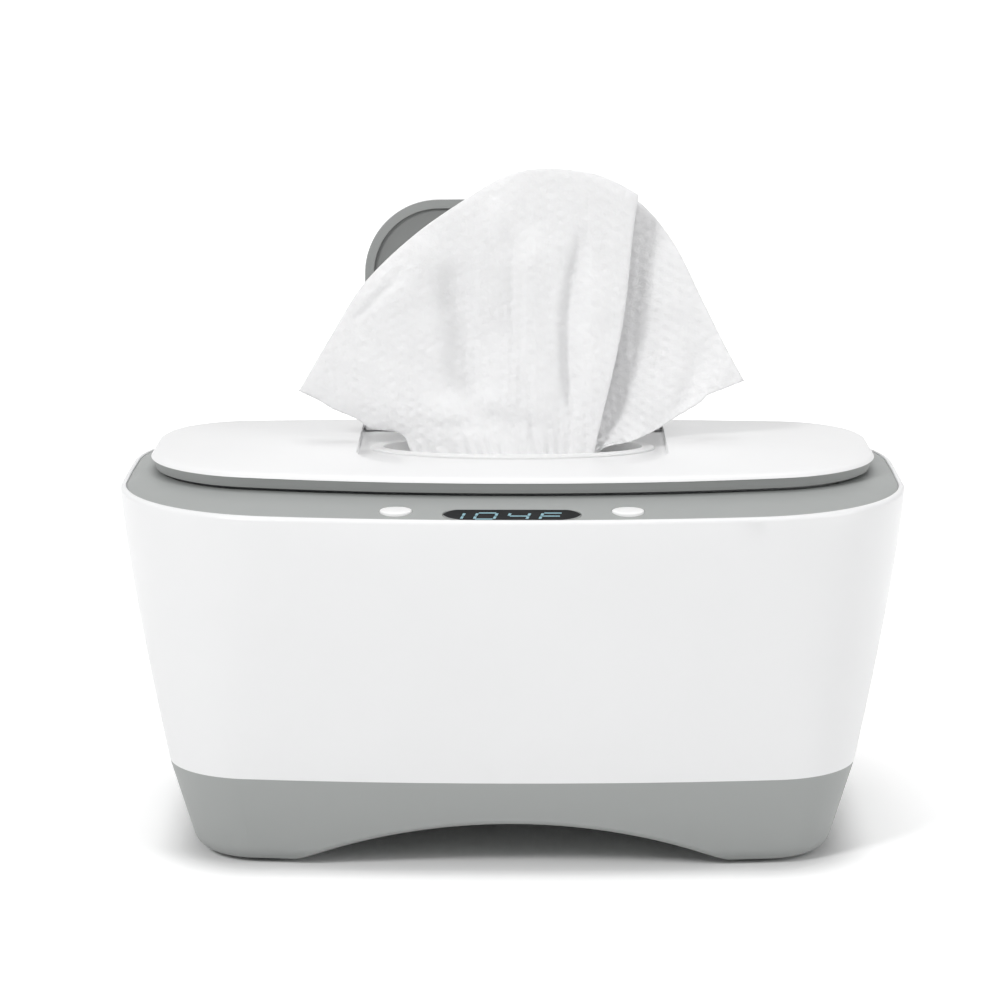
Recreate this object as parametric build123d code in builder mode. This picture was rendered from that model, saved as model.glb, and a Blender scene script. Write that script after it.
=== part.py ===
from build123d import *
import os
from dataclasses import astuple, dataclass
from math import atan, atan2, cos, degrees, hypot, radians, sin, sqrt

# A baby wipe warmer: a flared white body on a grey arched base, a sloped grey deck with two
# buttons and a display, a hinged main lid, and in that lid a small flap over the dispensing slot.
# Millimetres, +Z up, +X to the right, +Y to the back, the origin on the floor under the middle.

# ---------------------------------------------------------------- driving dimensions

# Body
body_length = 292.0
body_depth = 188.0
lip_top = 134.8
seam_height = 34.7
side_flare = 17.9
front_flare = 15.0
seam_length = body_length - 2 * side_flare
seam_depth = body_depth - 2 * front_flare
flare_power = 1.26
shell_wall = 2.4
lip_outer_round = 1.7
lip_inner_round = 0.5

# Base
base_bottom = 1.0
base_side_taper = 0.315
base_front_taper = 0.22
base_wall = 2.6
base_round = 8.4
arch_side_margin = 48.0
arch_half_span = seam_length / 2 - arch_side_margin
arch_rise = 16.8
arch_round = 3.0
tongue_height = 5.0
tongue_wall = 1.8
foot_radius = 7.5
foot_thickness = 2.2
foot_chamfer = 0.6
foot_side_margin = 36.0
foot_front_margin = 29.0
foot_x = seam_length / 2 - foot_side_margin
foot_y = seam_depth / 2 - foot_front_margin
base_screw_side_margin = 28.5
base_screw_front_margin = 47.0
base_screw_x = seam_length / 2 - base_screw_side_margin
base_screw_y = seam_depth / 2 - base_screw_front_margin

# Deck
deck_edge_height = 134.3
deck_rise = 2.5
deck_curve = 2.6
deck_wall = 2.2
ledge_top = 129.0
ledge_thickness = 2.0
ledge_width = 2.2
deck_screw_inset = 6.0

# Buttons and display
button_x = 41.3
button_inset = 13.3
button_y = button_inset - body_depth / 2
button_radius = 5.8
button_proud = 0.5
button_travel = 0.8
display_inset = 9.1
display_y = display_inset - body_depth / 2
display_length = 49.0
display_height = 10.6
display_thickness = 1.2
board_length = 124.0
board_depth = 17.0
board_inset = 17.0
board_y = board_inset - body_depth / 2
board_top = 124.7
board_thickness = 1.6

# Lid
deck_side_width = 10.2
deck_front_width = 31.5
lid_length = body_length - 2 * deck_side_width
lid_depth = body_depth - 2 * deck_front_width
lid_bottom = 138.1
lid_parting = 142.0
lid_top = 144.1
lid_overlap = 4.5
liner_undercut = 1.8
liner_floor = 1.4
liner_wall = 2.0
lid_hinge_reach = 5.0
lid_hinge_y = lid_depth / 2 + lid_hinge_reach
lid_hinge_height = 139.4
lid_hinge_radius = 2.8
lid_hinge_pin_radius = 1.2
lid_barrel_length = 60.0
lid_ear_length = 6.0

# Flap, and its seat in the lid
flap_width = 116.0
flap_hinge_inset = 12.3
flap_front_margin = 23.7
flap_length = lid_depth - flap_hinge_inset - flap_front_margin
flap_corner = 29.0
flap_heel_corner = 1.5
flap_front_bow = 0.9
flap_hinge_y = lid_depth / 2 - flap_hinge_inset
flap_hinge_height = 142.5
flap_barrel_radius = 1.55
flap_pin_radius = 0.8
flap_pin_length = 6.0
flap_cover_thickness = 1.4
flap_rim = 3.3
flap_recess = 1.4
flap_open_angle = 98.0
seat_floor = 140.5
seat_wall = 2.0
seat_gap = 0.5

# Dispenser insert
well_set_back = 36.2
well_y = flap_hinge_y - well_set_back
well_side_margin = 6.8
well_half_length = flap_width / 2 - well_side_margin
well_half_depth = 19.2
insert_flange = 2.8
insert_flange_thickness = 1.0
insert_wall = 1.6
insert_bottom = 135.3
slot_length = 76.0
slot_width = 12.0
retainer_thickness = 1.4

# Tub and heater
tub_inset = 4.0
tub_floor = 55.5
tub_wall = 1.8
tub_floor_round = 4.0
tub_rim = 135.9
tub_flange_top = 131.5
tub_flange_thickness = 2.0
tub_flange_reach = 7.0
spreader_thickness = 1.2
film_thickness = 0.8
insulation_thickness = 6.0
heater_cover_thickness = 2.0
heater_side_margin = 32.5
heater_front_margin = 19.5
heater_length = lid_length - 2 * heater_side_margin
heater_depth = lid_depth - 2 * heater_front_margin
heater_corner = 24.0
heater_screw_reach = 7.0
heater_screw_margin = 18.0
heater_screw_x = heater_length / 2 + heater_screw_reach
heater_screw_y = heater_depth / 2 - heater_screw_margin

# Power inlet, in the back wall
jack_x = 62.0
jack_height = 49.5
jack_radius = 5.5
jack_bore_radius = 2.75
jack_pin_radius = 1.0
jack_depth = 14.0

# Wipes
stack_side_margin = 43.8
stack_front_margin = 18.5
stack_y = 2.5
stack_length = lid_length - 2 * stack_side_margin
stack_depth = lid_depth - 2 * stack_front_margin
stack_height = 62.0
wipe_neck_thickness = 2.4
wipe_neck_left = (-34.0, 139.5)
wipe_neck_right = (31.5, 139.5)
wipe_left_hem = (-57.0, 151.5)
wipe_left_corner = (-81.0, 160.7)
wipe_left_dome = (-41.0, 218.0)
wipe_tip = (9.8, 245.9)
wipe_right_dome = (31.0, 243.5)
wipe_shoulder = (47.4, 236.1)
wipe_right_corner = (88.0, 165.0)
wipe_right_hem = (59.0, 150.0)
wipe_fan_thickness = 12.0

# Clearances
fit_gap = 0.2
running_gap = 0.06
soft_gap = 0.3
button_gap = 0.15
screw_gap = 0.05
screw_end_gap = 0.5


# ---------------------------------------------------------------- outlines

@dataclass(frozen=True)
class Oval:
    """A smooth oval of eight tangent arcs: two sides, the front and the back, and four corners."""

    half_length: float
    half_depth: float
    side_radius: float
    front_radius: float
    front_corner: float
    back_radius: float
    back_corner: float

    def grown(self, amount):
        """The parallel outline that lies this far outside."""
        return Oval(*(value + amount for value in astuple(self)))

    def toward(self, other, share):
        """The outline part of the way to another one."""
        return Oval(*(a + (b - a) * share for a, b in zip(astuple(self), astuple(other))))

    def corner_centre(self, long_radius, corner_radius):
        """How far to the side and from the middle the centre of a corner arc lies."""
        long_y = self.half_depth - long_radius
        side_x = self.half_length - self.side_radius
        long_reach = long_radius - corner_radius
        side_reach = self.side_radius - corner_radius
        gap = hypot(side_x, long_y)
        along = (gap**2 + long_reach**2 - side_reach**2) / (2 * gap)
        across = sqrt(long_reach**2 - along**2)
        x = (side_x * along - long_y * across) / gap
        y = long_y - (long_y * along + side_x * across) / gap
        return x, y

    def edge_y(self, x, y):
        """How far from the middle the edge lies at this x, on the front or the back by the sign of y."""
        radius = self.back_radius if y > 0 else self.front_radius
        return self.half_depth - radius + sqrt(radius**2 - x**2)

    def side_x(self, y):
        """Where the right side lies at this y, between the corner arcs."""
        return self.half_length - self.side_radius + sqrt(self.side_radius**2 - y**2)

    def face(self):
        """The outline's face, to be added to a sketch."""
        front_x, front_y = self.corner_centre(self.front_radius, self.front_corner)
        back_x, back_y = self.corner_centre(self.back_radius, self.back_corner)
        side_x = self.half_length - self.side_radius
        front_middle = self.half_depth - self.front_radius
        back_middle = self.half_depth - self.back_radius
        front_steep = degrees(atan2(front_y - front_middle, front_x))
        front_flat = degrees(atan2(front_y, front_x - side_x))
        back_steep = degrees(atan2(back_y - back_middle, back_x))
        back_flat = degrees(atan2(back_y, back_x - side_x))
        front_turn = front_steep - front_flat
        back_turn = back_steep - back_flat
        side_turn = front_flat + back_flat
        with BuildSketch() as outline:
            with BuildLine():
                CenterArc((side_x, 0), self.side_radius, -front_flat, side_turn)
                CenterArc((back_x, back_y), self.back_corner, back_flat, back_turn)
                CenterArc((0, back_middle), self.back_radius, back_steep, 180 - 2 * back_steep)
                CenterArc((-back_x, back_y), self.back_corner, 180 - back_steep, back_turn)
                CenterArc((-side_x, 0), self.side_radius, 180 - back_flat, side_turn)
                CenterArc((-front_x, -front_y), self.front_corner, 180 + front_flat, front_turn)
                CenterArc((0, -front_middle), self.front_radius, 180 + front_steep, 180 - 2 * front_steep)
                CenterArc((front_x, -front_y), self.front_corner, 360 - front_steep, front_turn)
            make_face()
        return outline.sketch


def even_oval(half_length, half_depth, side_radius, long_radius, corner_radius):
    """An oval whose front and back are alike."""
    return Oval(half_length, half_depth, side_radius, long_radius, corner_radius, long_radius, corner_radius)


rim_oval = even_oval(body_length / 2, body_depth / 2, 1350.0, 625.0, 68.0)
seam_oval = even_oval(seam_length / 2, seam_depth / 2, 1230.0, 900.0, 34.0)
# the lid bows out at the front and is nearly straight along its hinge
lid_oval = Oval(lid_length / 2, lid_depth / 2, 1180.0, 444.0, 48.0, 1290.0, 35.0)
deck_opening = lid_oval.grown(-lid_overlap)


def body_oval(height):
    """The body's outside at a height: it flares above the seam and tapers to the floor below it."""
    if height >= seam_height:
        share = (height - seam_height) / (lip_top - seam_height)
        return seam_oval.toward(rim_oval, 1 - (1 - share) ** flare_power)
    drop = seam_height - height
    return even_oval(
        seam_oval.half_length - drop * base_side_taper,
        seam_oval.half_depth - drop * base_front_taper,
        seam_oval.side_radius,
        seam_oval.front_radius,
        seam_oval.front_corner - drop * base_side_taper,
    )


deck_edge = body_oval(deck_edge_height).grown(-shell_wall - fit_gap)


def deck_height(share):
    """Height of the deck's top, from its outer edge at 0 to the lid opening at 1."""
    return deck_edge_height + deck_rise * (1 - (1 - share) ** deck_curve)


def deck_share(x, y):
    """How far a place on the deck's front or back lies from the outer edge to the opening."""
    outer = deck_edge.edge_y(x, y)
    return (outer - abs(y)) / (outer - deck_opening.edge_y(x, y))


def deck_slope(x, y):
    """The deck's tilt at a place on its front, in degrees."""
    outer, inner = deck_edge.edge_y(x, y), deck_opening.edge_y(x, y)
    rate = deck_curve * deck_rise * (1 - deck_share(x, y)) ** (deck_curve - 1)
    return degrees(atan(rate / (outer - inner)))


def flap_face(grow=0.0):
    """The flap's face in its own plane: x across, and y from the hinge to minus its length."""
    side = flap_width / 2 + grow
    heel = flap_barrel_radius + grow
    front = -flap_length - grow
    bow = front + flap_front_bow
    with BuildSketch() as outline:
        with BuildLine():
            Polyline((side, bow), (side, heel), (-side, heel), (-side, bow))
            ThreePointArc((-side, bow), (0, front), (side, bow))
        make_face()
        fillet(outline.vertices().group_by(Axis.Y)[0], flap_corner + grow)
        fillet(outline.vertices().group_by(Axis.Y)[-1], max(flap_heel_corner + grow, 1.0))
    return outline.sketch


def corner_places(x, y):
    """Four places, mirrored left to right and front to back."""
    return [(sx * x, sy * y) for sx in (-1, 1) for sy in (-1, 1)]


def save(piece, name):
    """Labels a finished piece and writes its file."""
    piece.part.label = name
    export_step(piece.part, f"parts/{name}.step")


os.makedirs("parts", exist_ok=True)

# ---------------------------------------------------------------- outer shell

shell_levels = [seam_height + (lip_top - seam_height) * share for share in (0, 0.25, 0.5, 0.75, 1)]
shell_boss_bottom = 36.7
shell_boss_height = 6.8
shell_boss_radius = 4.2
screw_core_radius = 1.5
deck_screw_corner = body_oval(ledge_top).grown(-shell_wall - deck_screw_inset)
deck_screw_bend = deck_screw_corner.front_corner
deck_screw_centre = deck_screw_corner.corner_centre(deck_screw_corner.front_radius, deck_screw_bend)
deck_screw_x = deck_screw_centre[0] + deck_screw_bend * cos(radians(45))
deck_screw_y = deck_screw_centre[1] + deck_screw_bend * sin(radians(45))
deck_screw_places = corner_places(deck_screw_x, deck_screw_y)
base_screw_places = corner_places(base_screw_x, base_screw_y)
web_thickness = 2.4
web_end = body_oval(shell_boss_bottom).side_x(base_screw_y) - shell_wall / 2

with BuildPart() as outer_shell:
    for level in shell_levels:
        with BuildSketch(Plane.XY.offset(level)):
            add(body_oval(level).face())
    loft()
    for level in shell_levels:
        with BuildSketch(Plane.XY.offset(level)):
            add(body_oval(level).grown(-shell_wall).face())
    loft(mode=Mode.SUBTRACT)
    fillet(outer_shell.faces().sort_by(Axis.Z)[-1].outer_wire().edges(), lip_outer_round)
    fillet(outer_shell.faces().sort_by(Axis.Z)[-1].inner_wires()[0].edges(), lip_inner_round)
    # the ledge that carries the deck, with four screw tabs
    with BuildSketch(Plane.XY.offset(ledge_top - ledge_thickness)):
        add(body_oval(ledge_top).grown(-shell_wall / 2).face())
        add(body_oval(ledge_top).grown(-shell_wall - ledge_width).face(), mode=Mode.SUBTRACT)
        with Locations(*deck_screw_places):
            Circle(deck_screw_inset)
            Circle(screw_core_radius + screw_gap, mode=Mode.SUBTRACT)
    extrude(amount=ledge_thickness)
    # bosses for the base screws, each on a web from the side wall
    with BuildSketch(Plane.XY.offset(shell_boss_bottom)):
        with Locations(*base_screw_places):
            Circle(shell_boss_radius)
        for side in (-1, 1):
            middle = side * (base_screw_x + web_end) / 2
            with Locations((middle, base_screw_y), (middle, -base_screw_y)):
                Rectangle(web_end - base_screw_x, web_thickness)
    extrude(amount=shell_boss_height)
    with BuildSketch(Plane.XY.offset(shell_boss_bottom)):
        with Locations(*base_screw_places):
            Circle(screw_core_radius + screw_gap)
    extrude(amount=shell_boss_height, mode=Mode.SUBTRACT)
    # hole for the power inlet
    with BuildSketch(Plane.XZ):
        with Locations((jack_x, jack_height)):
            Circle(jack_radius + fit_gap)
    extrude(amount=-body_depth, mode=Mode.SUBTRACT)
save(outer_shell, "outer_shell")

# ---------------------------------------------------------------- base cover, feet and screws

arch_radius = (arch_half_span**2 + arch_rise**2) / (2 * arch_rise)
arch_centre = base_bottom + arch_rise - arch_radius
base_column_top = shell_boss_bottom
base_column_radius = 4.5
base_screw_seat = 24.0
screw_head_radius = 2.8
screw_head_height = 2.0
small_head_radius = 2.4
small_head_height = 1.6
foot_recess = foot_thickness - base_bottom
base_screw_length = shell_boss_bottom + shell_boss_height - 2 * screw_end_gap - base_screw_seat


def arch(radius):
    """The cylinder that cuts the arch under the base, from front to back."""
    with BuildPart() as cut:
        with BuildSketch(Plane.XZ):
            with Locations((0, arch_centre)):
                Circle(radius)
        extrude(amount=body_depth / 2, both=True)
    return cut.part


with BuildPart() as base_cavity:
    for level in (base_bottom + base_wall, seam_height):
        with BuildSketch(Plane.XY.offset(level)):
            add(body_oval(level).grown(-base_wall).face())
    loft()
    add(arch(arch_radius + base_wall), mode=Mode.SUBTRACT)

with BuildPart() as base_cover:
    for level in (base_bottom, seam_height):
        with BuildSketch(Plane.XY.offset(level)):
            add(body_oval(level).face())
    loft()
    fillet(base_cover.faces().sort_by(Axis.Z)[0].edges(), base_round)
    add(arch(arch_radius), mode=Mode.SUBTRACT)
    fillet(base_cover.faces().filter_by(GeomType.CYLINDER).sort_by(SortBy.AREA)[-1].edges(), arch_round)
    add(base_cavity.part, mode=Mode.SUBTRACT)
    # tongue that locates the shell
    tongue_outline = body_oval(seam_height).grown(-shell_wall - fit_gap)
    with BuildSketch(Plane.XY.offset(seam_height - tongue_wall)):
        add(body_oval(seam_height - tongue_wall).grown(-base_wall / 2).face())
        add(tongue_outline.grown(-tongue_wall).face(), mode=Mode.SUBTRACT)
    extrude(amount=tongue_wall)
    with BuildSketch(Plane.XY.offset(seam_height)):
        add(tongue_outline.face())
        add(tongue_outline.grown(-tongue_wall).face(), mode=Mode.SUBTRACT)
    extrude(amount=tongue_height)
    # notches in the tongue for the shell's webs
    with BuildSketch(Plane.XY.offset(seam_height)):
        for side in (-1, 1):
            notch_x = side * (tongue_outline.side_x(base_screw_y) - tongue_wall / 2)
            with Locations((notch_x, base_screw_y), (notch_x, -base_screw_y)):
                Rectangle(3 * tongue_wall, web_thickness + 2 * fit_gap)
    extrude(amount=tongue_height, mode=Mode.SUBTRACT)
    # columns that the base screws pass through
    with BuildSketch(Plane.XY.offset(base_bottom + base_wall / 2)):
        with Locations(*base_screw_places):
            Circle(base_column_radius)
    extrude(amount=base_column_top - base_bottom - base_wall / 2)
    with BuildSketch(Plane.XY.offset(base_bottom)):
        with Locations(*base_screw_places):
            Circle(screw_head_radius + fit_gap)
    extrude(amount=base_screw_seat - base_bottom, mode=Mode.SUBTRACT)
    with BuildSketch(Plane.XY.offset(base_screw_seat)):
        with Locations(*base_screw_places):
            Circle(screw_core_radius + fit_gap)
    extrude(amount=base_column_top - base_screw_seat, mode=Mode.SUBTRACT)
    # recesses for the rubber feet
    with BuildSketch(Plane.XY.offset(base_bottom)):
        with Locations(*corner_places(foot_x, foot_y)):
            Circle(foot_radius + fit_gap)
    extrude(amount=foot_recess, mode=Mode.SUBTRACT)
save(base_cover, "base_cover")

with BuildPart() as rubber_feet:
    with BuildSketch():
        with Locations(*corner_places(foot_x, foot_y)):
            Circle(foot_radius)
    extrude(amount=foot_thickness)
    chamfer(rubber_feet.edges().group_by(Axis.Z)[0], foot_chamfer)
save(rubber_feet, "rubber_feet")


def screws(places, seat, length, core_radius, head_radius, head_height):
    """A group of upright screws: heads below the seat height, shanks above it."""
    with BuildPart() as group:
        with BuildSketch(Plane.XY.offset(seat - head_height)):
            with Locations(*places):
                Circle(head_radius)
        extrude(amount=head_height)
        chamfer(group.edges().group_by(Axis.Z)[0], head_height / 4)
        with BuildSketch(Plane.XY.offset(seat)):
            with Locations(*places):
                Circle(core_radius)
        extrude(amount=length)
        # cross recess in each head
        with BuildSketch(Plane.XY.offset(seat - head_height)):
            with Locations(*places):
                Rectangle(head_radius, head_radius / 4)
                Rectangle(head_radius / 4, head_radius)
        extrude(amount=head_height / 2, mode=Mode.SUBTRACT)
    return group


base_screws = screws(
    base_screw_places,
    base_screw_seat,
    base_screw_length,
    screw_core_radius,
    screw_head_radius,
    screw_head_height,
)
save(base_screws, "base_screws")

# ---------------------------------------------------------------- deck bezel

deck_levels = (0, 1 / 3, 2 / 3, 1)
deck_wall_bottom = tub_flange_top
tub_screw_radius = 1.2
tub_screw_grip = 3.4
tub_boss_radius = 3.0
tub_screw_x = 60.0
tub_screw_inset = 2.0
tub_screw_reach = deck_wall + tub_screw_inset
tub_screw_places = [
    (side * tub_screw_x, end * (deck_opening.edge_y(tub_screw_x, end) + tub_screw_reach))
    for side in (-1, 1)
    for end in (-1, 1)
]
deck_boss_radius = 3.2
deck_screw_grip = 4.0
board_boss_radius = 2.6
board_screw_radius = 1.0
board_screw_grip = 6.0
board_screw_end = 5.0
board_screw_x = board_length / 2 - board_screw_end
board_screw_inset = 3.0
board_screw_places = [
    (side * board_screw_x, board_y + shift)
    for side in (-1, 1)
    for shift in (board_screw_inset - board_depth / 2, board_depth / 2 - board_screw_inset)
]
window_plane = Plane(
    origin=(0, display_y, deck_height(deck_share(0, display_y))),
    x_dir=(1, 0, 0),
    z_dir=(0, -sin(radians(deck_slope(0, display_y))), cos(radians(deck_slope(0, display_y)))),
)
window_ledge = 1.4
window_round = 0.3
window_above = 3.0
hinge_pocket_gap = 0.6
hinge_pocket_depth = lid_hinge_radius + hinge_pocket_gap
hinge_pocket_floor = 1.6
hinge_pocket_length = lid_barrel_length + 2 * fit_gap
ear_centre = lid_barrel_length / 2 + 2 * fit_gap + lid_ear_length / 2
lid_pin_half = ear_centre + lid_ear_length / 3
pocket_bottom = lid_hinge_height - hinge_pocket_depth


def boss_top(x, y):
    """Top of a boss under the deck, inside the deck's plate."""
    return deck_height(deck_share(x, y)) - deck_wall / 2


with BuildPart() as deck_inside:
    for share in deck_levels:
        with BuildSketch(Plane.XY.offset(deck_height(share) - deck_wall)):
            add(deck_edge.toward(deck_opening, share).grown(-deck_wall * (1 - share)).face())
    loft()
    with BuildSketch(Plane.XY.offset(ledge_top)):
        add(body_oval(ledge_top).grown(-shell_wall - fit_gap - deck_wall).face())
    with BuildSketch(Plane.XY.offset(deck_edge_height - deck_wall)):
        add(deck_edge.grown(-deck_wall).face())
    loft()

with BuildPart() as deck_bezel:
    for share in deck_levels:
        with BuildSketch(Plane.XY.offset(deck_height(share))):
            add(deck_edge.toward(deck_opening, share).face())
    loft()
    with BuildSketch(Plane.XY.offset(ledge_top)):
        add(body_oval(ledge_top).grown(-shell_wall - fit_gap).face())
    with BuildSketch(Plane.XY.offset(deck_edge_height)):
        add(deck_edge.face())
    loft()
    add(deck_inside.part, mode=Mode.SUBTRACT)
    # wall around the lid opening, down to the tub's flange
    with BuildSketch(Plane.XY.offset(deck_wall_bottom)):
        add(deck_opening.grown(deck_wall).face())
    extrude(amount=deck_height(1) - deck_wall / 2 - deck_wall_bottom)
    # block under the hinge pocket
    pocket_block = lid_barrel_length + 2 * lid_ear_length + 4 * deck_wall
    with BuildSketch(Plane.XY.offset(pocket_bottom - hinge_pocket_floor)):
        with Locations((0, lid_hinge_y)):
            Rectangle(pocket_block, 2 * hinge_pocket_depth + 2 * deck_wall)
    extrude(amount=hinge_pocket_floor + hinge_pocket_gap)
    # bosses for the tub, the shell and the control board
    for (x, y), radius, bottom in (
        [(place, tub_boss_radius, tub_flange_top) for place in tub_screw_places]
        + [(place, board_boss_radius, board_top) for place in board_screw_places]
    ):
        with BuildSketch(Plane.XY.offset(bottom)):
            with Locations((x, y)):
                Circle(radius)
        extrude(amount=boss_top(x, y) - bottom)
    with BuildSketch(Plane.XY.offset(ledge_top)):
        with Locations(*deck_screw_places):
            Circle(deck_boss_radius)
    extrude(amount=deck_edge_height - ledge_top)
    # the opening
    with BuildSketch(Plane.XY.offset(deck_wall_bottom)):
        add(deck_opening.face())
    extrude(amount=lid_top - deck_wall_bottom, mode=Mode.SUBTRACT)
    # screw holes in the bosses
    for places, radius, bottom, depth in (
        (tub_screw_places, tub_screw_radius, tub_flange_top, tub_screw_grip),
        (board_screw_places, board_screw_radius, board_top, board_screw_grip),
        (deck_screw_places, screw_core_radius, ledge_top, deck_screw_grip),
    ):
        with BuildSketch(Plane.XY.offset(bottom)):
            with Locations(*places):
                Circle(radius + screw_gap)
        extrude(amount=depth + screw_end_gap, mode=Mode.SUBTRACT)
    # button holes
    with BuildSketch(Plane.XY.offset(ledge_top)):
        with Locations((-button_x, button_y), (button_x, button_y)):
            Circle(button_radius + button_gap)
    extrude(amount=lid_top - ledge_top, mode=Mode.SUBTRACT)
    # seat and opening for the display window
    with BuildSketch(window_plane.offset(-display_thickness)):
        SlotOverall(display_length + 2 * fit_gap, display_height + 2 * fit_gap)
    extrude(amount=window_above, mode=Mode.SUBTRACT)
    with BuildSketch(window_plane.offset(-2 * window_above)):
        SlotOverall(display_length - 2 * window_ledge, display_height - 2 * window_ledge)
    extrude(amount=3 * window_above, mode=Mode.SUBTRACT)
    # pocket for the lid's barrel, and the two ears that hold its pin
    with BuildSketch(Plane.XY.offset(pocket_bottom)):
        with Locations((0, lid_hinge_y)):
            Rectangle(hinge_pocket_length, 2 * hinge_pocket_depth)
    extrude(amount=lid_top - pocket_bottom, mode=Mode.SUBTRACT)
    for side in (-1, 1):
        with BuildSketch(Plane.YZ.offset(side * ear_centre)):
            with Locations((lid_hinge_y, lid_hinge_height)):
                Circle(lid_hinge_radius)
            with Locations((lid_hinge_y, (lid_hinge_height + pocket_bottom) / 2)):
                Rectangle(2 * lid_hinge_radius, lid_hinge_height - pocket_bottom)
        extrude(amount=lid_ear_length / 2, both=True)
    with BuildSketch(Plane.YZ):
        with Locations((lid_hinge_y, lid_hinge_height)):
            Circle(lid_hinge_pin_radius)
    extrude(amount=lid_pin_half, both=True, mode=Mode.SUBTRACT)
save(deck_bezel, "deck_bezel")

with BuildPart() as lid_hinge_pin:
    with BuildSketch(Plane.YZ):
        with Locations((lid_hinge_y, lid_hinge_height)):
            Circle(lid_hinge_pin_radius)
    extrude(amount=lid_pin_half, both=True)
save(lid_hinge_pin, "lid_hinge_pin")

deck_screws = screws(
    deck_screw_places,
    ledge_top - ledge_thickness,
    ledge_thickness + deck_screw_grip,
    screw_core_radius,
    screw_head_radius,
    screw_head_height,
)
save(deck_screws, "deck_screws")

# ---------------------------------------------------------------- inner tub

tub_outline = deck_opening.grown(-tub_inset)
tub_flange_outline = deck_opening.grown(tub_flange_reach)
tub_underside = tub_floor - tub_wall
heater_boss_radius = 3.6
heater_boss_bottom = tub_underside - spreader_thickness - film_thickness - insulation_thickness
heater_screw_radius = 1.2
heater_screw_grip = 5.0
heater_screw_places = corner_places(heater_screw_x, heater_screw_y)

with BuildPart() as inner_tub:
    with BuildSketch(Plane.XY.offset(tub_underside)):
        add(tub_outline.face())
    extrude(amount=tub_rim - tub_underside)
    fillet(inner_tub.edges().group_by(Axis.Z)[0], tub_floor_round + tub_wall)
    with BuildSketch(Plane.XY.offset(tub_flange_top - tub_flange_thickness)):
        add(tub_flange_outline.face())
    extrude(amount=tub_flange_thickness)
    with BuildSketch(Plane.XY.offset(tub_underside)):
        with Locations(*heater_screw_places):
            Circle(heater_boss_radius)
    extrude(amount=heater_boss_bottom - tub_underside)
    with BuildPart(mode=Mode.PRIVATE) as tub_space:
        with BuildSketch(Plane.XY.offset(tub_floor)):
            add(tub_outline.grown(-tub_wall).face())
        extrude(amount=tub_rim - tub_floor)
        fillet(tub_space.edges().group_by(Axis.Z)[0], tub_floor_round)
    add(tub_space.part, mode=Mode.SUBTRACT)
    for places, radius, bottom, depth in (
        (tub_screw_places, tub_screw_radius, tub_flange_top - tub_flange_thickness, tub_flange_thickness),
        (heater_screw_places, heater_screw_radius, heater_boss_bottom, heater_screw_grip + screw_end_gap),
    ):
        with BuildSketch(Plane.XY.offset(bottom)):
            with Locations(*places):
                Circle(radius + screw_gap)
        extrude(amount=depth, mode=Mode.SUBTRACT)
save(inner_tub, "inner_tub")

tub_screws = screws(
    tub_screw_places,
    tub_flange_top - tub_flange_thickness,
    tub_flange_thickness + tub_screw_grip,
    tub_screw_radius,
    small_head_radius,
    small_head_height,
)
save(tub_screws, "tub_screws")

# ---------------------------------------------------------------- heater stack under the tub

film_top = tub_underside - spreader_thickness
insulation_top = film_top - film_thickness
heater_cover_top = insulation_top - insulation_thickness
heater_cover_bottom = heater_cover_top - heater_cover_thickness
heater_cover_length = 2 * (heater_screw_x + heater_boss_radius)
heater_cover_depth = heater_depth + 2 * heater_boss_radius
sensor_length = 6.0
sensor_width = 9.0
sensor_thickness = 3.0
sensor_round = 1.0
sensor_place = (-30.0, 12.0)
fuse_radius = 2.2
fuse_length = 11.0
fuse_chamfer = 0.4
fuse_place = (30.0, 12.0)
channel_width = 4.4
channel_depth = 3.2
channel_lead_height = insulation_top - channel_depth / 2

with BuildPart() as heat_spreader:
    with BuildSketch(Plane.XY.offset(film_top)):
        RectangleRounded(heater_length, heater_depth, heater_corner)
    extrude(amount=spreader_thickness)
save(heat_spreader, "heat_spreader")

with BuildPart() as heater_film:
    with BuildSketch(Plane.XY.offset(insulation_top)):
        RectangleRounded(heater_length, heater_depth, heater_corner)
    extrude(amount=film_thickness)
save(heater_film, "heater_film")

with BuildPart() as insulation_pad:
    with BuildSketch(Plane.XY.offset(heater_cover_top)):
        RectangleRounded(heater_length, heater_depth, heater_corner)
    extrude(amount=insulation_thickness)
    # pockets for the sensor and the fuse, each with a channel to the front for its leads
    for (x, y), width, length, depth in (
        (sensor_place, sensor_width, sensor_length, sensor_thickness),
        (fuse_place, 2 * fuse_radius, fuse_length, 2 * fuse_radius),
    ):
        with BuildSketch(Plane.XY.offset(insulation_top)):
            with Locations((x, y)):
                Rectangle(width + 2 * fit_gap, length + 2 * fit_gap)
        extrude(amount=-depth - fit_gap, mode=Mode.SUBTRACT)
        with BuildSketch(Plane.XY.offset(insulation_top)):
            with Locations((x, (y - heater_depth / 2) / 2)):
                Rectangle(channel_width, y + heater_depth / 2)
        extrude(amount=-channel_depth, mode=Mode.SUBTRACT)
save(insulation_pad, "insulation_pad")

with BuildPart() as temperature_sensor:
    with BuildSketch(Plane.XY.offset(insulation_top)):
        with Locations(sensor_place):
            Rectangle(sensor_width, sensor_length)
    extrude(amount=-sensor_thickness)
    fillet(temperature_sensor.edges().filter_by(Axis.Z), sensor_round)
save(temperature_sensor, "temperature_sensor")

with BuildPart() as thermal_fuse:
    with BuildSketch(Plane.XZ.offset(-fuse_place[1])):
        with Locations((fuse_place[0], insulation_top - fuse_radius)):
            Circle(fuse_radius)
    extrude(amount=fuse_length / 2, both=True)
    chamfer(thermal_fuse.edges().filter_by(GeomType.CIRCLE), fuse_chamfer)
save(thermal_fuse, "thermal_fuse")

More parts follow.
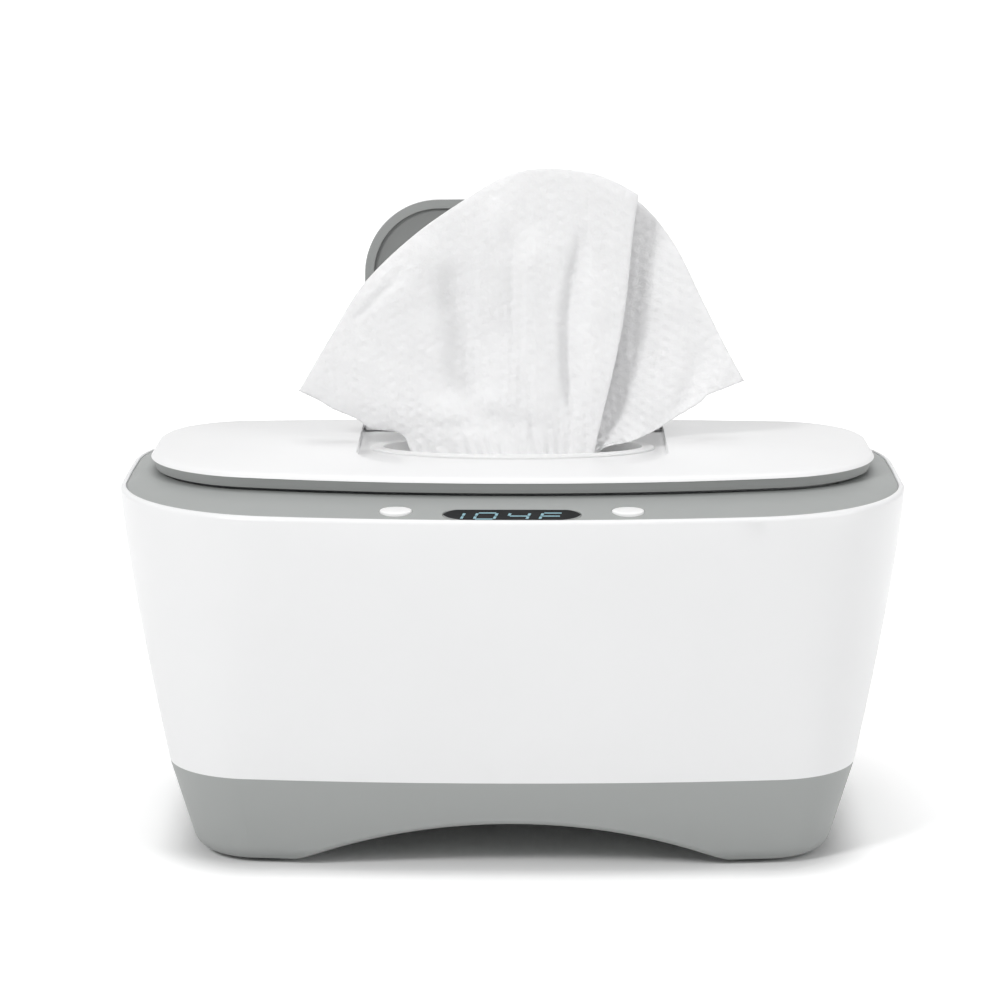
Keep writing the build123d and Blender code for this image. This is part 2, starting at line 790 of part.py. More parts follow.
with BuildPart() as heater_cover:
    with BuildSketch(Plane.XY.offset(heater_cover_bottom)):
        RectangleRounded(heater_cover_length, heater_cover_depth, heater_corner + heater_boss_radius)
        with Locations(*heater_screw_places):
            Circle(heater_screw_radius + screw_gap, mode=Mode.SUBTRACT)
    extrude(amount=heater_cover_thickness)
    chamfer(heater_cover.faces().sort_by(Axis.Z)[0].outer_wire().edges(), heater_cover_thickness / 3)
save(heater_cover, "heater_cover")

heater_screws = screws(
    heater_screw_places,
    heater_cover_bottom,
    heater_cover_thickness + heater_screw_grip,
    heater_screw_radius,
    small_head_radius,
    small_head_height,
)
save(heater_screws, "heater_screws")

# ---------------------------------------------------------------- power inlet

jack_outside = body_oval(jack_height).edge_y(jack_x, 1)
jack_sink = 0.8
jack_front = jack_outside - jack_sink
jack_bore_floor = 2.0
jack_body = 12.0
jack_body_depth = 9.0
jack_nut_radius = 8.0
jack_nut_thickness = 2.0

with BuildPart() as power_jack:
    with BuildSketch(Plane.XZ.offset(-jack_front)):
        with Locations((jack_x, jack_height)):
            Circle(jack_radius)
    extrude(amount=jack_depth)
    with BuildSketch(Plane.XZ.offset(jack_depth - jack_front)):
        with Locations((jack_x, jack_height)):
            Rectangle(jack_body, jack_body)
    extrude(amount=jack_body_depth)
    with BuildSketch(Plane.XZ.offset(-jack_front)):
        with Locations((jack_x, jack_height)):
            Circle(jack_bore_radius)
            Circle(jack_pin_radius, mode=Mode.SUBTRACT)
    extrude(amount=jack_depth - jack_bore_floor, mode=Mode.SUBTRACT)
save(power_jack, "power_jack")

jack_nut_y = jack_outside - 2 * shell_wall - jack_nut_thickness
with BuildPart() as jack_nut:
    with BuildSketch(Plane.XZ.offset(-jack_nut_y)):
        with Locations((jack_x, jack_height)):
            RegularPolygon(jack_nut_radius, 6)
            Circle(jack_radius + screw_gap, mode=Mode.SUBTRACT)
    extrude(amount=jack_nut_thickness)
save(jack_nut, "jack_nut")

# ---------------------------------------------------------------- control board and display

board_bottom = board_top - board_thickness
board_corner = 2.0
switch_size = 6.0
switch_height = 3.5
plunger_radius = 1.7
plunger_height = 0.7
module_length = 44.0
module_depth = 5.0
module_shift = 1.0
module_height = 7.6
module_corner = 1.0

with BuildPart() as control_board:
    with BuildSketch(Plane.XY.offset(board_bottom)):
        with Locations((0, board_y)):
            RectangleRounded(board_length, board_depth, board_corner)
        with Locations(*board_screw_places):
            Circle(board_screw_radius + screw_gap, mode=Mode.SUBTRACT)
    extrude(amount=board_thickness)
save(control_board, "control_board")

board_screws = screws(
    board_screw_places,
    board_bottom,
    board_thickness + board_screw_grip,
    board_screw_radius,
    small_head_radius - 0.5,
    small_head_height,
)
save(board_screws, "board_screws")

with BuildPart() as tact_switches:
    with BuildSketch(Plane.XY.offset(board_top)):
        with Locations((-button_x, button_y), (button_x, button_y)):
            RectangleRounded(switch_size, switch_size, 0.5)
    extrude(amount=switch_height)
    with BuildSketch(Plane.XY.offset(board_top + switch_height)):
        with Locations((-button_x, button_y), (button_x, button_y)):
            Circle(plunger_radius)
    extrude(amount=plunger_height)
save(tact_switches, "tact_switches")

plug_inset = 17.0
heater_plug_x = plug_inset - board_length / 2
power_plug_x = board_length / 2 - plug_inset
plug_y = board_y + 2.0
plug_length = 12.0
plug_depth = 6.0
plug_height = 5.0
controller_size = 10.0
controller_height = 1.6
capacitor_x = 28.0
capacitor_radius = 3.2
capacitor_height = 7.0

with BuildPart() as board_parts:
    # a controller and its plugs under the board, with one round capacitor
    with BuildSketch(Plane.XY.offset(board_bottom)):
        with Locations((0, board_y)):
            Rectangle(controller_size, controller_size)
    extrude(amount=-controller_height)
    with BuildSketch(Plane.XY.offset(board_bottom)):
        with Locations((heater_plug_x, plug_y), (power_plug_x, plug_y)):
            Rectangle(plug_length, plug_depth)
    extrude(amount=-plug_height)
    with BuildSketch(Plane.XY.offset(board_bottom)):
        with Locations((capacitor_x, board_y)):
            Circle(capacitor_radius)
    extrude(amount=-capacitor_height)
save(board_parts, "board_parts")

with BuildPart() as display_module:
    with BuildSketch(Plane.XY.offset(board_top)):
        with Locations((0, display_y + module_shift)):
            RectangleRounded(module_length, module_depth, module_corner)
    extrude(amount=module_height)
    # the top follows the window's tilt
    with BuildSketch(window_plane.offset(-display_thickness - fit_gap)):
        Rectangle(2 * module_length, 2 * module_height)
    extrude(amount=module_height, mode=Mode.SUBTRACT)
save(display_module, "display_module")

with BuildPart() as display_window:
    with BuildSketch(window_plane.offset(-display_thickness)):
        SlotOverall(display_length, display_height)
    extrude(amount=display_thickness)
    fillet(display_window.faces().sort_by(Axis.Z)[-1].edges(), window_round)
save(display_window, "display_window")

# ---------------------------------------------------------------- push buttons

button_top = deck_height(deck_share(button_x, button_y)) + button_proud
button_flange_top = 131.4
button_flange_thickness = 1.2
button_flange_radius = button_radius + 0.6
button_round = 0.6
stem_radius = 2.2
stem_gap = 0.1
stem_bottom = board_top + switch_height + plunger_height + button_travel + stem_gap


def push_button(x):
    """A round key cap with a retaining flange, and a stem over its switch."""
    with BuildPart() as button:
        with BuildSketch(Plane.XY.offset(button_flange_top)):
            with Locations((x, button_y)):
                Circle(button_radius)
        extrude(amount=button_top - button_flange_top)
        fillet(button.edges().group_by(Axis.Z)[-1], button_round)
        with BuildSketch(Plane.XY.offset(button_flange_top - button_flange_thickness)):
            with Locations((x, button_y)):
                Circle(button_flange_radius)
        extrude(amount=button_flange_thickness)
        with BuildSketch(Plane.XY.offset(stem_bottom)):
            with Locations((x, button_y)):
                Circle(stem_radius)
        extrude(amount=button_flange_top - stem_bottom)
    return button


save(push_button(-button_x), "power_button")
save(push_button(button_x), "heat_button")

# ---------------------------------------------------------------- main lid

lid_edge_steps = ((0.0, 0.0), (0.4, 0.5), (0.78, 1.9), (1.0, 4.5))
liner_top_inset = 0.3
lid_arm_bottom = 139.9
lid_arm_inset = 2.1
lid_arm_start = lid_depth / 2 - lid_arm_inset
lid_boss_radius = 2.6
lid_screw_reach = 20.0
lid_screw_margin = 23.5
lid_end_screw_margin = 28.5
lid_screw_x = flap_width / 2 + lid_screw_reach
lid_screw_y = lid_depth / 2 - lid_screw_margin
lid_end_screw_x = lid_length / 2 - lid_end_screw_margin
lid_screw_radius = 1.0
lid_screw_head_height = 1.1
lid_screw_places = corner_places(lid_screw_x, lid_screw_y) + [(-lid_end_screw_x, 0), (lid_end_screw_x, 0)]
lid_screw_top = lid_parting + screw_end_gap
gasket_width = 3.0
gasket_outer = tub_outline.grown((gasket_width - tub_wall) / 2)
insert_round = 0.6
retainer_gap = 0.4
insert_lip_top = lid_bottom - retainer_thickness - retainer_gap
flap_pin_end = flap_width / 2 + seat_gap + seat_wall - fit_gap


def seat_plane(height):
    """The level plane at a height whose origin lies under the flap's hinge."""
    return Plane(origin=(0, flap_hinge_y, height))


with BuildPart() as lid_liner:
    with BuildSketch(Plane.XY.offset(lid_bottom)):
        add(lid_oval.grown(-liner_undercut).face())
    with BuildSketch(Plane.XY.offset(lid_parting)):
        add(lid_oval.grown(-liner_top_inset).face())
    loft()
    with BuildSketch(Plane.XY.offset(lid_bottom + liner_floor)):
        add(lid_oval.grown(-liner_top_inset - liner_wall).face())
    extrude(amount=lid_top - lid_bottom, mode=Mode.SUBTRACT)
    with BuildSketch(seat_plane(lid_bottom)):
        add(flap_face(seat_gap + seat_wall + fit_gap))
    extrude(amount=lid_top - lid_bottom, mode=Mode.SUBTRACT)
    with BuildSketch(Plane.XY.offset(lid_bottom)):
        with Locations(*lid_screw_places):
            Circle(lid_screw_radius + screw_gap)
    extrude(amount=liner_floor, mode=Mode.SUBTRACT)
    # arm and barrel for the hinge
    with BuildSketch(Plane.YZ):
        with Locations(((lid_arm_start + lid_hinge_y) / 2, (lid_arm_bottom + lid_parting) / 2)):
            Rectangle(lid_hinge_y - lid_arm_start, lid_parting - lid_arm_bottom)
        with Locations((lid_hinge_y, lid_hinge_height)):
            Circle(lid_hinge_radius)
            Circle(lid_hinge_pin_radius + running_gap, mode=Mode.SUBTRACT)
    extrude(amount=lid_barrel_length / 2, both=True)
save(lid_liner, "lid_liner")

with BuildPart() as lid_cover:
    for share, inset in lid_edge_steps:
        with BuildSketch(Plane.XY.offset(lid_parting + share * (lid_top - lid_parting))):
            add(lid_oval.grown(-inset).face())
    loft(ruled=True)
    # tray that hangs under the top around the flap's seat
    with BuildSketch(seat_plane(lid_bottom)):
        add(flap_face(seat_gap + seat_wall))
    extrude(amount=lid_parting - lid_bottom)
    with BuildSketch(Plane.XY.offset(lid_bottom + liner_floor)):
        with Locations(*lid_screw_places):
            Circle(lid_boss_radius)
    extrude(amount=lid_parting - lid_bottom - liner_floor)
    with BuildSketch(Plane.XY.offset(lid_bottom + liner_floor)):
        with Locations(*lid_screw_places):
            Circle(lid_screw_radius + screw_gap)
    extrude(amount=lid_screw_top - lid_bottom - liner_floor, mode=Mode.SUBTRACT)
    with BuildSketch(seat_plane(seat_floor)):
        add(flap_face(seat_gap))
    extrude(amount=lid_top - seat_floor, mode=Mode.SUBTRACT)
    with BuildSketch(Plane.XY.offset(lid_bottom)):
        with Locations((0, well_y)):
            Ellipse(well_half_length, well_half_depth)
    extrude(amount=seat_floor - lid_bottom, mode=Mode.SUBTRACT)
    # holes for the flap's hinge pins
    with BuildSketch(Plane.YZ):
        with Locations((flap_hinge_y, flap_hinge_height)):
            Circle(flap_pin_radius)
    extrude(amount=flap_pin_end, both=True, mode=Mode.SUBTRACT)
save(lid_cover, "lid_cover")

lid_screws = screws(
    lid_screw_places,
    lid_bottom,
    lid_screw_top - lid_bottom,
    lid_screw_radius,
    small_head_radius,
    lid_screw_head_height,
)
save(lid_screws, "lid_screws")

with BuildPart() as lid_gasket:
    with BuildSketch(Plane.XY.offset(tub_rim + soft_gap)):
        add(gasket_outer.face())
        add(gasket_outer.grown(-gasket_width).face(), mode=Mode.SUBTRACT)
    extrude(amount=lid_bottom - tub_rim - soft_gap)
save(lid_gasket, "lid_gasket")

with BuildPart() as dispenser_insert:
    with BuildSketch(Plane.XY.offset(seat_floor)):
        with Locations((0, well_y)):
            Ellipse(well_half_length + insert_flange, well_half_depth + insert_flange)
    extrude(amount=insert_flange_thickness)
    fillet(dispenser_insert.edges().group_by(Axis.Z)[-1], insert_round)
    with BuildSketch(Plane.XY.offset(insert_bottom)):
        with Locations((0, well_y)):
            Ellipse(well_half_length - fit_gap, well_half_depth - fit_gap)
    extrude(amount=seat_floor - insert_bottom)
    with BuildSketch(Plane.XY.offset(insert_bottom)):
        with Locations((0, well_y)):
            Ellipse(well_half_length + insert_wall, well_half_depth + insert_wall)
    extrude(amount=insert_lip_top - insert_bottom)
    with BuildSketch(Plane.XY.offset(insert_bottom + insert_wall)):
        with Locations((0, well_y)):
            Ellipse(well_half_length - fit_gap - insert_wall, well_half_depth - fit_gap - insert_wall)
    extrude(amount=lid_top - insert_bottom, mode=Mode.SUBTRACT)
    with BuildSketch(Plane.XY.offset(insert_bottom)):
        with Locations((0, well_y)):
            SlotOverall(slot_length, slot_width)
    extrude(amount=insert_wall, mode=Mode.SUBTRACT)
save(dispenser_insert, "dispenser_insert")

with BuildPart() as insert_retainer:
    with BuildSketch(Plane.XY.offset(lid_bottom - retainer_thickness)):
        with Locations((0, well_y)):
            Ellipse(well_half_length + 3 * insert_wall, well_half_depth + 3 * insert_wall)
            Ellipse(well_half_length, well_half_depth, mode=Mode.SUBTRACT)
    extrude(amount=retainer_thickness)
save(insert_retainer, "insert_retainer")

# ---------------------------------------------------------------- flap over the slot, drawn open

flap_plane = Plane(
    origin=(0, flap_hinge_y, flap_hinge_height),
    x_dir=(1, 0, 0),
    z_dir=(0, sin(radians(flap_open_angle)), cos(radians(flap_open_angle))),
)
flap_normal = Axis(flap_plane.origin, flap_plane.z_dir)
flap_parting = lid_top - flap_hinge_height - flap_cover_thickness
flap_floor_gap = 0.15
flap_liner_bottom = seat_floor + flap_floor_gap - flap_hinge_height
flap_liner_inset = 0.4
flap_barrel_inset = 0.6
flap_barrel_half = flap_width / 2 - flap_barrel_inset
flap_pin_start = flap_barrel_half - flap_pin_length / 2
flap_heel = flap_barrel_radius + fit_gap

with BuildPart() as flap_cover:
    with BuildSketch(flap_plane.offset(flap_parting)):
        add(flap_face())
    extrude(amount=flap_cover_thickness)
    fillet(flap_cover.faces().sort_by(flap_normal)[-1].edges(), flap_cover_thickness - fit_gap)
    with BuildSketch(Plane.YZ):
        with Locations((flap_hinge_y, flap_hinge_height)):
            Circle(flap_barrel_radius)
    extrude(amount=flap_barrel_half, both=True)
    for side in (-1, 1):
        with BuildSketch(Plane.YZ.offset(side * flap_pin_start)):
            with Locations((flap_hinge_y, flap_hinge_height)):
                Circle(flap_pin_radius + running_gap)
        extrude(amount=side * flap_pin_length, mode=Mode.SUBTRACT)
save(flap_cover, "flap_cover")

with BuildPart() as flap_liner:
    with BuildSketch(flap_plane.offset(flap_liner_bottom)):
        add(flap_face(-flap_liner_inset))
        with Locations((0, flap_length / 2 - flap_heel)):
            Rectangle(flap_width, flap_length, mode=Mode.SUBTRACT)
    extrude(amount=flap_parting - flap_liner_bottom)
    with BuildSketch(flap_plane.offset(flap_liner_bottom)):
        add(flap_face(-flap_liner_inset - flap_rim))
        with Locations((0, flap_length / 2 - flap_heel - flap_rim)):
            Rectangle(flap_width, flap_length, mode=Mode.SUBTRACT)
    extrude(amount=flap_recess, mode=Mode.SUBTRACT)
save(flap_liner, "flap_liner")

with BuildPart() as flap_hinge_pins:
    for side in (-1, 1):
        with BuildSketch(Plane.YZ.offset(side * (flap_pin_start + fit_gap))):
            with Locations((flap_hinge_y, flap_hinge_height)):
                Circle(flap_pin_radius)
        extrude(amount=side * (flap_pin_end - flap_pin_start - fit_gap))
save(flap_hinge_pins, "flap_hinge_pins")

# ---------------------------------------------------------------- wipes

stack_bottom = tub_floor + soft_gap
stack_corner = 6.0
stack_round = 2.5
fold_count = 8
fold_groove = 0.8
wipe_slot_gap = 0.5
wipe_y = well_y - slot_width / 2 + wipe_neck_thickness / 2 + wipe_slot_gap
wipe_tail = insert_bottom - 4.0
wipe_neck_top = wipe_neck_left[1]
wipe_tip_height = wipe_tip[1]
fold_small_radius = 0.3
fold_large_radius = 4.2
front_folds = ((-14.0, -62.0), (-4.0, -22.0), (5.0, 20.0), (15.0, 66.0))
back_folds = ((-9.0, -40.0), (9.0, 44.0))

with BuildPart() as wipe_stack:
    with BuildSketch(Plane.XY.offset(stack_bottom)):
        with Locations((0, stack_y)):
            RectangleRounded(stack_length, stack_depth, stack_corner)
    extrude(amount=stack_height)
    fillet(wipe_stack.edges().group_by(Axis.Z)[0] + wipe_stack.edges().group_by(Axis.Z)[-1], stack_round)
    # folds along the front and the back of the stack
    for step in range(1, fold_count):
        with BuildSketch(Plane.YZ):
            for side in (-1, 1):
                fold_y = stack_y + side * stack_depth / 2
                with Locations((fold_y, stack_bottom + stack_height * step / fold_count)):
                    Circle(fold_groove)
        extrude(amount=stack_length / 2, both=True, mode=Mode.SUBTRACT)
save(wipe_stack, "wipe_stack")


def wipe_half_thickness(height):
    """The pulled wipe is thin in the slot, and its bunched folds spread evenly above it."""
    spread = max(0.0, height - wipe_neck_top) / (wipe_tip_height - wipe_neck_top)
    return (wipe_neck_thickness + spread * (wipe_fan_thickness - wipe_neck_thickness)) / 2


def fold(start_x, end_x, side):
    """A groove that opens out from the neck to the wipe's upper edge."""
    start = Vector(start_x, wipe_y + side * wipe_half_thickness(wipe_neck_top), wipe_neck_top)
    end = Vector(end_x, wipe_y + side * wipe_half_thickness(wipe_tip_height), wipe_tip_height)
    along = Plane(origin=start, z_dir=end - start)
    with BuildPart() as cut:
        with BuildSketch(along):
            Circle(fold_small_radius)
        with BuildSketch(along.offset(2 * (end - start).length)):
            Circle(2 * fold_large_radius)
        loft()
    return cut.part


with BuildPart() as pulled_wipe:
    for level in (wipe_tail, wipe_neck_top):
        with BuildSketch(Plane.XY.offset(level)):
            with Locations((0, wipe_y)):
                Rectangle(2 * stack_length, wipe_neck_thickness)
    loft()
    for level in (wipe_neck_top, wipe_tip_height):
        with BuildSketch(Plane.XY.offset(level)):
            with Locations((0, wipe_y)):
                Rectangle(2 * stack_length, 2 * wipe_half_thickness(level))
    loft()
    # the outline seen from the front, with a domed upper edge
    with BuildSketch(Plane.XZ):
        with BuildLine():
            ThreePointArc(wipe_left_corner, wipe_left_dome, wipe_tip)
            ThreePointArc(wipe_tip, wipe_right_dome, wipe_shoulder)
            Polyline(
                wipe_shoulder,
                wipe_right_corner,
                wipe_right_hem,
                wipe_neck_right,
                (wipe_neck_right[0], wipe_tail),
                (wipe_neck_left[0], wipe_tail),
                wipe_neck_left,
                wipe_left_hem,
                wipe_left_corner,
            )
        make_face()
    extrude(amount=body_depth, both=True, mode=Mode.INTERSECT)
    for folds, side in ((front_folds, -1), (back_folds, 1)):
        for start_x, end_x in folds:
            add(fold(start_x, end_x, side), mode=Mode.SUBTRACT)
save(pulled_wipe, "pulled_wipe")

# ---------------------------------------------------------------- leads

lead_bend = 3.0
heater_lead_radius = 0.9
sensor_lead_radius = 0.7
rise_y = -deck_opening.half_depth - 5.0
plug_bottom = board_bottom - plug_height
turn_height = plug_bottom - 9.6
rise_top = plug_bottom - 16.6
film_lead_x = -62.0
film_lead_pitch = 4.0
lead_pitch = 2.6


def riser(x, plug_x):
    """Places that take a wire up between the tub and the front wall to its plug."""
    return [(x, rise_y, rise_top), (plug_x, plug_y, turn_height), (plug_x, plug_y, plug_bottom)]


def leads(paths, radius):
    """A group of insulated wires along filleted paths."""
    with BuildPart() as group:
        for points in paths:
            with BuildLine() as route:
                FilletPolyline(*points, radius=lead_bend)
            start = Vector(*points[0])
            with BuildSketch(Plane(origin=start, z_dir=Vector(*points[1]) - start)):
                Circle(radius)
            sweep(path=route.line)
    return group


film_middle = insulation_top + film_thickness / 2
heater_leads = leads(
    [
        [(x, -heater_depth / 2, film_middle), (x, rise_y, film_middle)] + riser(x, plug_x)
        for x, plug_x in (
            (film_lead_x - film_lead_pitch / 2, heater_plug_x - film_lead_pitch - 0.6),
            (film_lead_x + film_lead_pitch / 2, heater_plug_x - film_lead_pitch / 4),
        )
    ],
    heater_lead_radius,
)
save(heater_leads, "heater_leads")

sensor_front = sensor_place[1] - sensor_length / 2
fuse_front = fuse_place[1] - fuse_length / 2
sensor_leads = leads(
    [
        [(x, y, channel_lead_height), (x, rise_y, channel_lead_height)] + riser(x, plug_x)
        for x, y, plug_x in (
            (sensor_place[0] - channel_width / 4, sensor_front, heater_plug_x + lead_pitch / 2),
            (sensor_place[0] + channel_width / 4, sensor_front, heater_plug_x + lead_pitch * 3 / 2),
            (fuse_place[0] - channel_width / 4, fuse_front, power_plug_x - lead_pitch * 7 / 4),
            (fuse_place[0] + channel_width / 4, fuse_front, power_plug_x - lead_pitch * 3 / 4),
        )
    ],
    sensor_lead_radius,
)
save(sensor_leads, "sensor_leads")

jack_back = jack_front - jack_depth - jack_body_depth
jack_lead_step = 5.0
jack_lead_height = jack_height - jack_body / 4
under_heater = heater_cover_bottom - 8.0
power_leads = leads(
    [
        [
            (x, jack_back, jack_lead_height),
            (x, jack_back - jack_lead_step, jack_lead_height),
            (x, jack_back - 2 * jack_lead_step, under_heater),
            (x, rise_y, under_heater),
        ]
        + riser(x, plug_x)
        for x, plug_x in (
            (jack_x - jack_body / 5, power_plug_x + lead_pitch / 4),
            (jack_x + jack_body / 5, power_plug_x + lead_pitch * 5 / 4),
        )
    ],
    heater_lead_radius,
)
save(power_leads, "power_leads")
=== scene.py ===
from math import cos, exp, pi, radians, sin, tau

import bmesh
import bpy
from mathutils import Matrix, Vector, noise


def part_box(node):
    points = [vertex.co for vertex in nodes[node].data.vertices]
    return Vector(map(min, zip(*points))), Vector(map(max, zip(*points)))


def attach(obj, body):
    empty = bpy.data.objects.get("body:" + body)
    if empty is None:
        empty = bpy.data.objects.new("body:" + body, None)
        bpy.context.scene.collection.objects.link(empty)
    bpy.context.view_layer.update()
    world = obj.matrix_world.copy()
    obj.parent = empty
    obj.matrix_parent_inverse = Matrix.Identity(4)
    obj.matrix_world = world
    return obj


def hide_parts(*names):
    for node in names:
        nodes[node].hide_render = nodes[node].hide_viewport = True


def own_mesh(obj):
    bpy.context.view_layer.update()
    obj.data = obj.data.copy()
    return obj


# A baby wipe warmer with its flap open and one wipe drawn halfway out. The frame is in metres;
# sizes here are written in millimetres and multiplied by MM where a mesh is made.

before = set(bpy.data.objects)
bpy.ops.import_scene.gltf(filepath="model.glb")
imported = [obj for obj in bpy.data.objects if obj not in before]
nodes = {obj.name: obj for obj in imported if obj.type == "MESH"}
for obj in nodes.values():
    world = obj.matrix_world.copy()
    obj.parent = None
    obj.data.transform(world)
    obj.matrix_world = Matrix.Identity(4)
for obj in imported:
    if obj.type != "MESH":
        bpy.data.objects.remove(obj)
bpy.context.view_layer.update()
MM = 0.001


# ---------------------------------------------------------------- camera, floor and light

# In metres, degrees and watts.
CAMERA_PLACE = (0.003, -1.300, 0.3885)
CAMERA_PITCH = 11.53
CAMERA_TURN = 0.34
CAMERA_LENS = 126.1
SENSOR_WIDTH = 36.0

# Each lamp's name, place, the height of the point it faces, its side and its power.
LAMPS = (
    ("overhead", (0.0, 0.2, 2.0), 0.10, 1.2, 15.5),
    ("left_key", (-1.32, -1.57, 1.55), 0.12, 0.5, 26.0),
    ("right_key", (1.57, -1.32, 1.55), 0.12, 0.7, 6.5),
    ("front_fill", (0.0, -2.1, 1.55), 0.12, 0.8, 4.5),
    ("left_strip", (-2.2, -0.6, 0.5), 0.10, 0.6, 3.0),
    ("right_strip", (2.2, -0.6, 0.5), 0.10, 0.6, 12.0),
)
SURROUND_LIGHT = 0.2
WHITE = (1.0, 1.0, 1.0, 1.0)
BLACK = (0.0, 0.0, 0.0, 1.0)

# The floor turns white with its distance from a core under the base. The shadow is kept whole up to
# the first distance, and each row of the fade gives a distance and how white the floor is there.
FLOOR_SIZE = 30.0
FLOOR_COLOUR = (0.88, 0.88, 0.88, 1.0)
SHADOW_CORE = (0.090, 0.040, 0.0)
SHADOW_KEPT = 0.026
FLOOR_FADE = ((0.048, 0.36), (0.11, 0.46), (0.40, 0.80))


def place_camera():
    """A long lens in front of the warmer, a little above it and looking slightly down."""
    data = bpy.data.cameras.new("camera")
    data.sensor_width = SENSOR_WIDTH
    data.lens = CAMERA_LENS
    camera = bpy.data.objects.new("camera", data)
    camera.location = CAMERA_PLACE
    camera.rotation_euler = (radians(90.0 - CAMERA_PITCH), 0.0, radians(CAMERA_TURN))
    bpy.context.collection.objects.link(camera)
    bpy.context.scene.camera = camera


def soft_lamp(name, place, target_height, size, watts):
    """A square area lamp that faces a point above the middle of the floor."""
    data = bpy.data.lights.new(name, "AREA")
    data.shape = "SQUARE"
    data.size = size
    data.energy = watts
    lamp = bpy.data.objects.new(name, data)
    lamp.location = place
    facing = Vector((0.0, 0.0, target_height)) - Vector(place)
    lamp.rotation_euler = facing.to_track_quat("-Z", "Y").to_euler()
    bpy.context.collection.objects.link(lamp)


def number_step(tree, operation, first, second):
    """One step of arithmetic on two numbers of other nodes."""
    step = tree.nodes.new("ShaderNodeMath")
    step.operation = operation
    tree.links.new(first, step.inputs[0])
    tree.links.new(second, step.inputs[1])
    return step.outputs[0]


def vector_step(tree, operation, value, other=(0.0, 0.0, 0.0), result="Vector"):
    """One step of arithmetic on another node's vector and a constant one."""
    step = tree.nodes.new("ShaderNodeVectorMath")
    step.operation = operation
    tree.links.new(value, step.inputs[0])
    step.inputs[1].default_value = other
    return step.outputs[result]


def away_from_box(tree, place, half_size):
    """How far a place lies outside a box around the origin."""
    side = vector_step(tree, "ABSOLUTE", place)
    outside = vector_step(tree, "SUBTRACT", side, half_size)
    outside = vector_step(tree, "MAXIMUM", outside)
    return vector_step(tree, "LENGTH", outside, result="Value")


def camera_sees(tree):
    """1 for rays that come straight from the camera or through gloss and glass, and 0 for other rays."""
    path = tree.nodes.new("ShaderNodeLightPath").outputs
    seen = number_step(tree, "MAXIMUM", path["Is Camera Ray"], path["Is Glossy Ray"])
    return number_step(tree, "MAXIMUM", seen, path["Is Transmission Ray"])


def light_world():
    """An even pale surround that lights the object faintly and shows as white."""
    world = bpy.data.worlds.new("studio")
    world.use_nodes = True
    tree = world.node_tree
    background = tree.nodes["Background"]
    background.inputs["Color"].default_value = WHITE
    level = tree.nodes.new("ShaderNodeMapRange")
    level.inputs["To Min"].default_value = SURROUND_LIGHT
    level.inputs["To Max"].default_value = 1.0
    tree.links.new(camera_sees(tree), level.inputs["Value"])
    tree.links.new(level.outputs["Result"], background.inputs["Strength"])
    bpy.context.scene.world = world


def lay_floor():
    """A wide white floor. It keeps the shadow close to the base, and fades to plain white away from it."""
    mesh = bmesh.new()
    bmesh.ops.create_grid(mesh, x_segments=1, y_segments=1, size=FLOOR_SIZE)
    floor = mesh_object("floor", mesh)
    material, tree, shader, place = new_material("floor", 0.9, 0.1)
    shader.inputs["Base Color"].default_value = FLOOR_COLOUR
    shader.inputs["Emission Color"].default_value = WHITE
    fade = tree.nodes.new("ShaderNodeValToRGB")
    fade.color_ramp.interpolation = "EASE"
    fade.color_ramp.elements[0].position = SHADOW_KEPT
    fade.color_ramp.elements[0].color = BLACK
    fade.color_ramp.elements[1].position = 1.0
    fade.color_ramp.elements[1].color = WHITE
    for distance, white in FLOOR_FADE:
        fade.color_ramp.elements.new(distance).color = (white, white, white, 1.0)
    tree.links.new(away_from_box(tree, place, SHADOW_CORE), fade.inputs["Fac"])
    glow = number_step(tree, "MULTIPLY", fade.outputs["Color"], camera_sees(tree))
    tree.links.new(glow, shader.inputs["Emission Strength"])
    floor.data.materials.append(material)


# ---------------------------------------------------------------- helpers for meshes

def mesh_object(name, mesh):
    """A finished bmesh as an object at the origin."""
    data = bpy.data.meshes.new(name)
    mesh.to_mesh(data)
    mesh.free()
    piece = bpy.data.objects.new(name, data)
    bpy.context.collection.objects.link(piece)
    return piece


SHARP_ANGLE = 35.0
MERGE_REACH = 0.002 * MM


def smooth(piece, sharp_angle=SHARP_ANGLE):
    """Smooth shading with edges kept hard where the surface turns more than the angle."""
    mesh = bmesh.new()
    mesh.from_mesh(piece.data)
    for face in mesh.faces:
        face.smooth = True
    for edge in mesh.edges:
        edge.smooth = not (edge.is_manifold and edge.calc_face_angle(0.0) > radians(sharp_angle))
    mesh.to_mesh(piece.data)
    mesh.free()
    return piece


def placed(piece, body, material, replaced=None):
    """Gives a piece its material and its body, and hides the node it stands for."""
    piece.data.materials.append(material)
    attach(piece, body)
    if replaced:
        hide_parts(replaced)
    return piece


def dressed(node, body, material):
    """A merged and smoothly shaded copy of a CAD node, which it stands for."""
    mesh = bmesh.new()
    mesh.from_mesh(nodes[node].data)
    bmesh.ops.remove_doubles(mesh, verts=mesh.verts, dist=MERGE_REACH)
    bmesh.ops.dissolve_degenerate(mesh, edges=mesh.edges, dist=MERGE_REACH)
    return placed(smooth(mesh_object(f"{node}_skin", mesh)), body, material, node)


# ---------------------------------------------------------------- materials

def new_material(name, roughness, specular=0.5):
    """A material with its shader and the object's own coordinates."""
    material = bpy.data.materials.new(name)
    material.use_nodes = True
    tree = material.node_tree
    shader = tree.nodes["Principled BSDF"]
    shader.inputs["Roughness"].default_value = roughness
    shader.inputs["Specular IOR Level"].default_value = specular
    place = tree.nodes.new("ShaderNodeTexCoord").outputs["Object"]
    return material, tree, shader, place


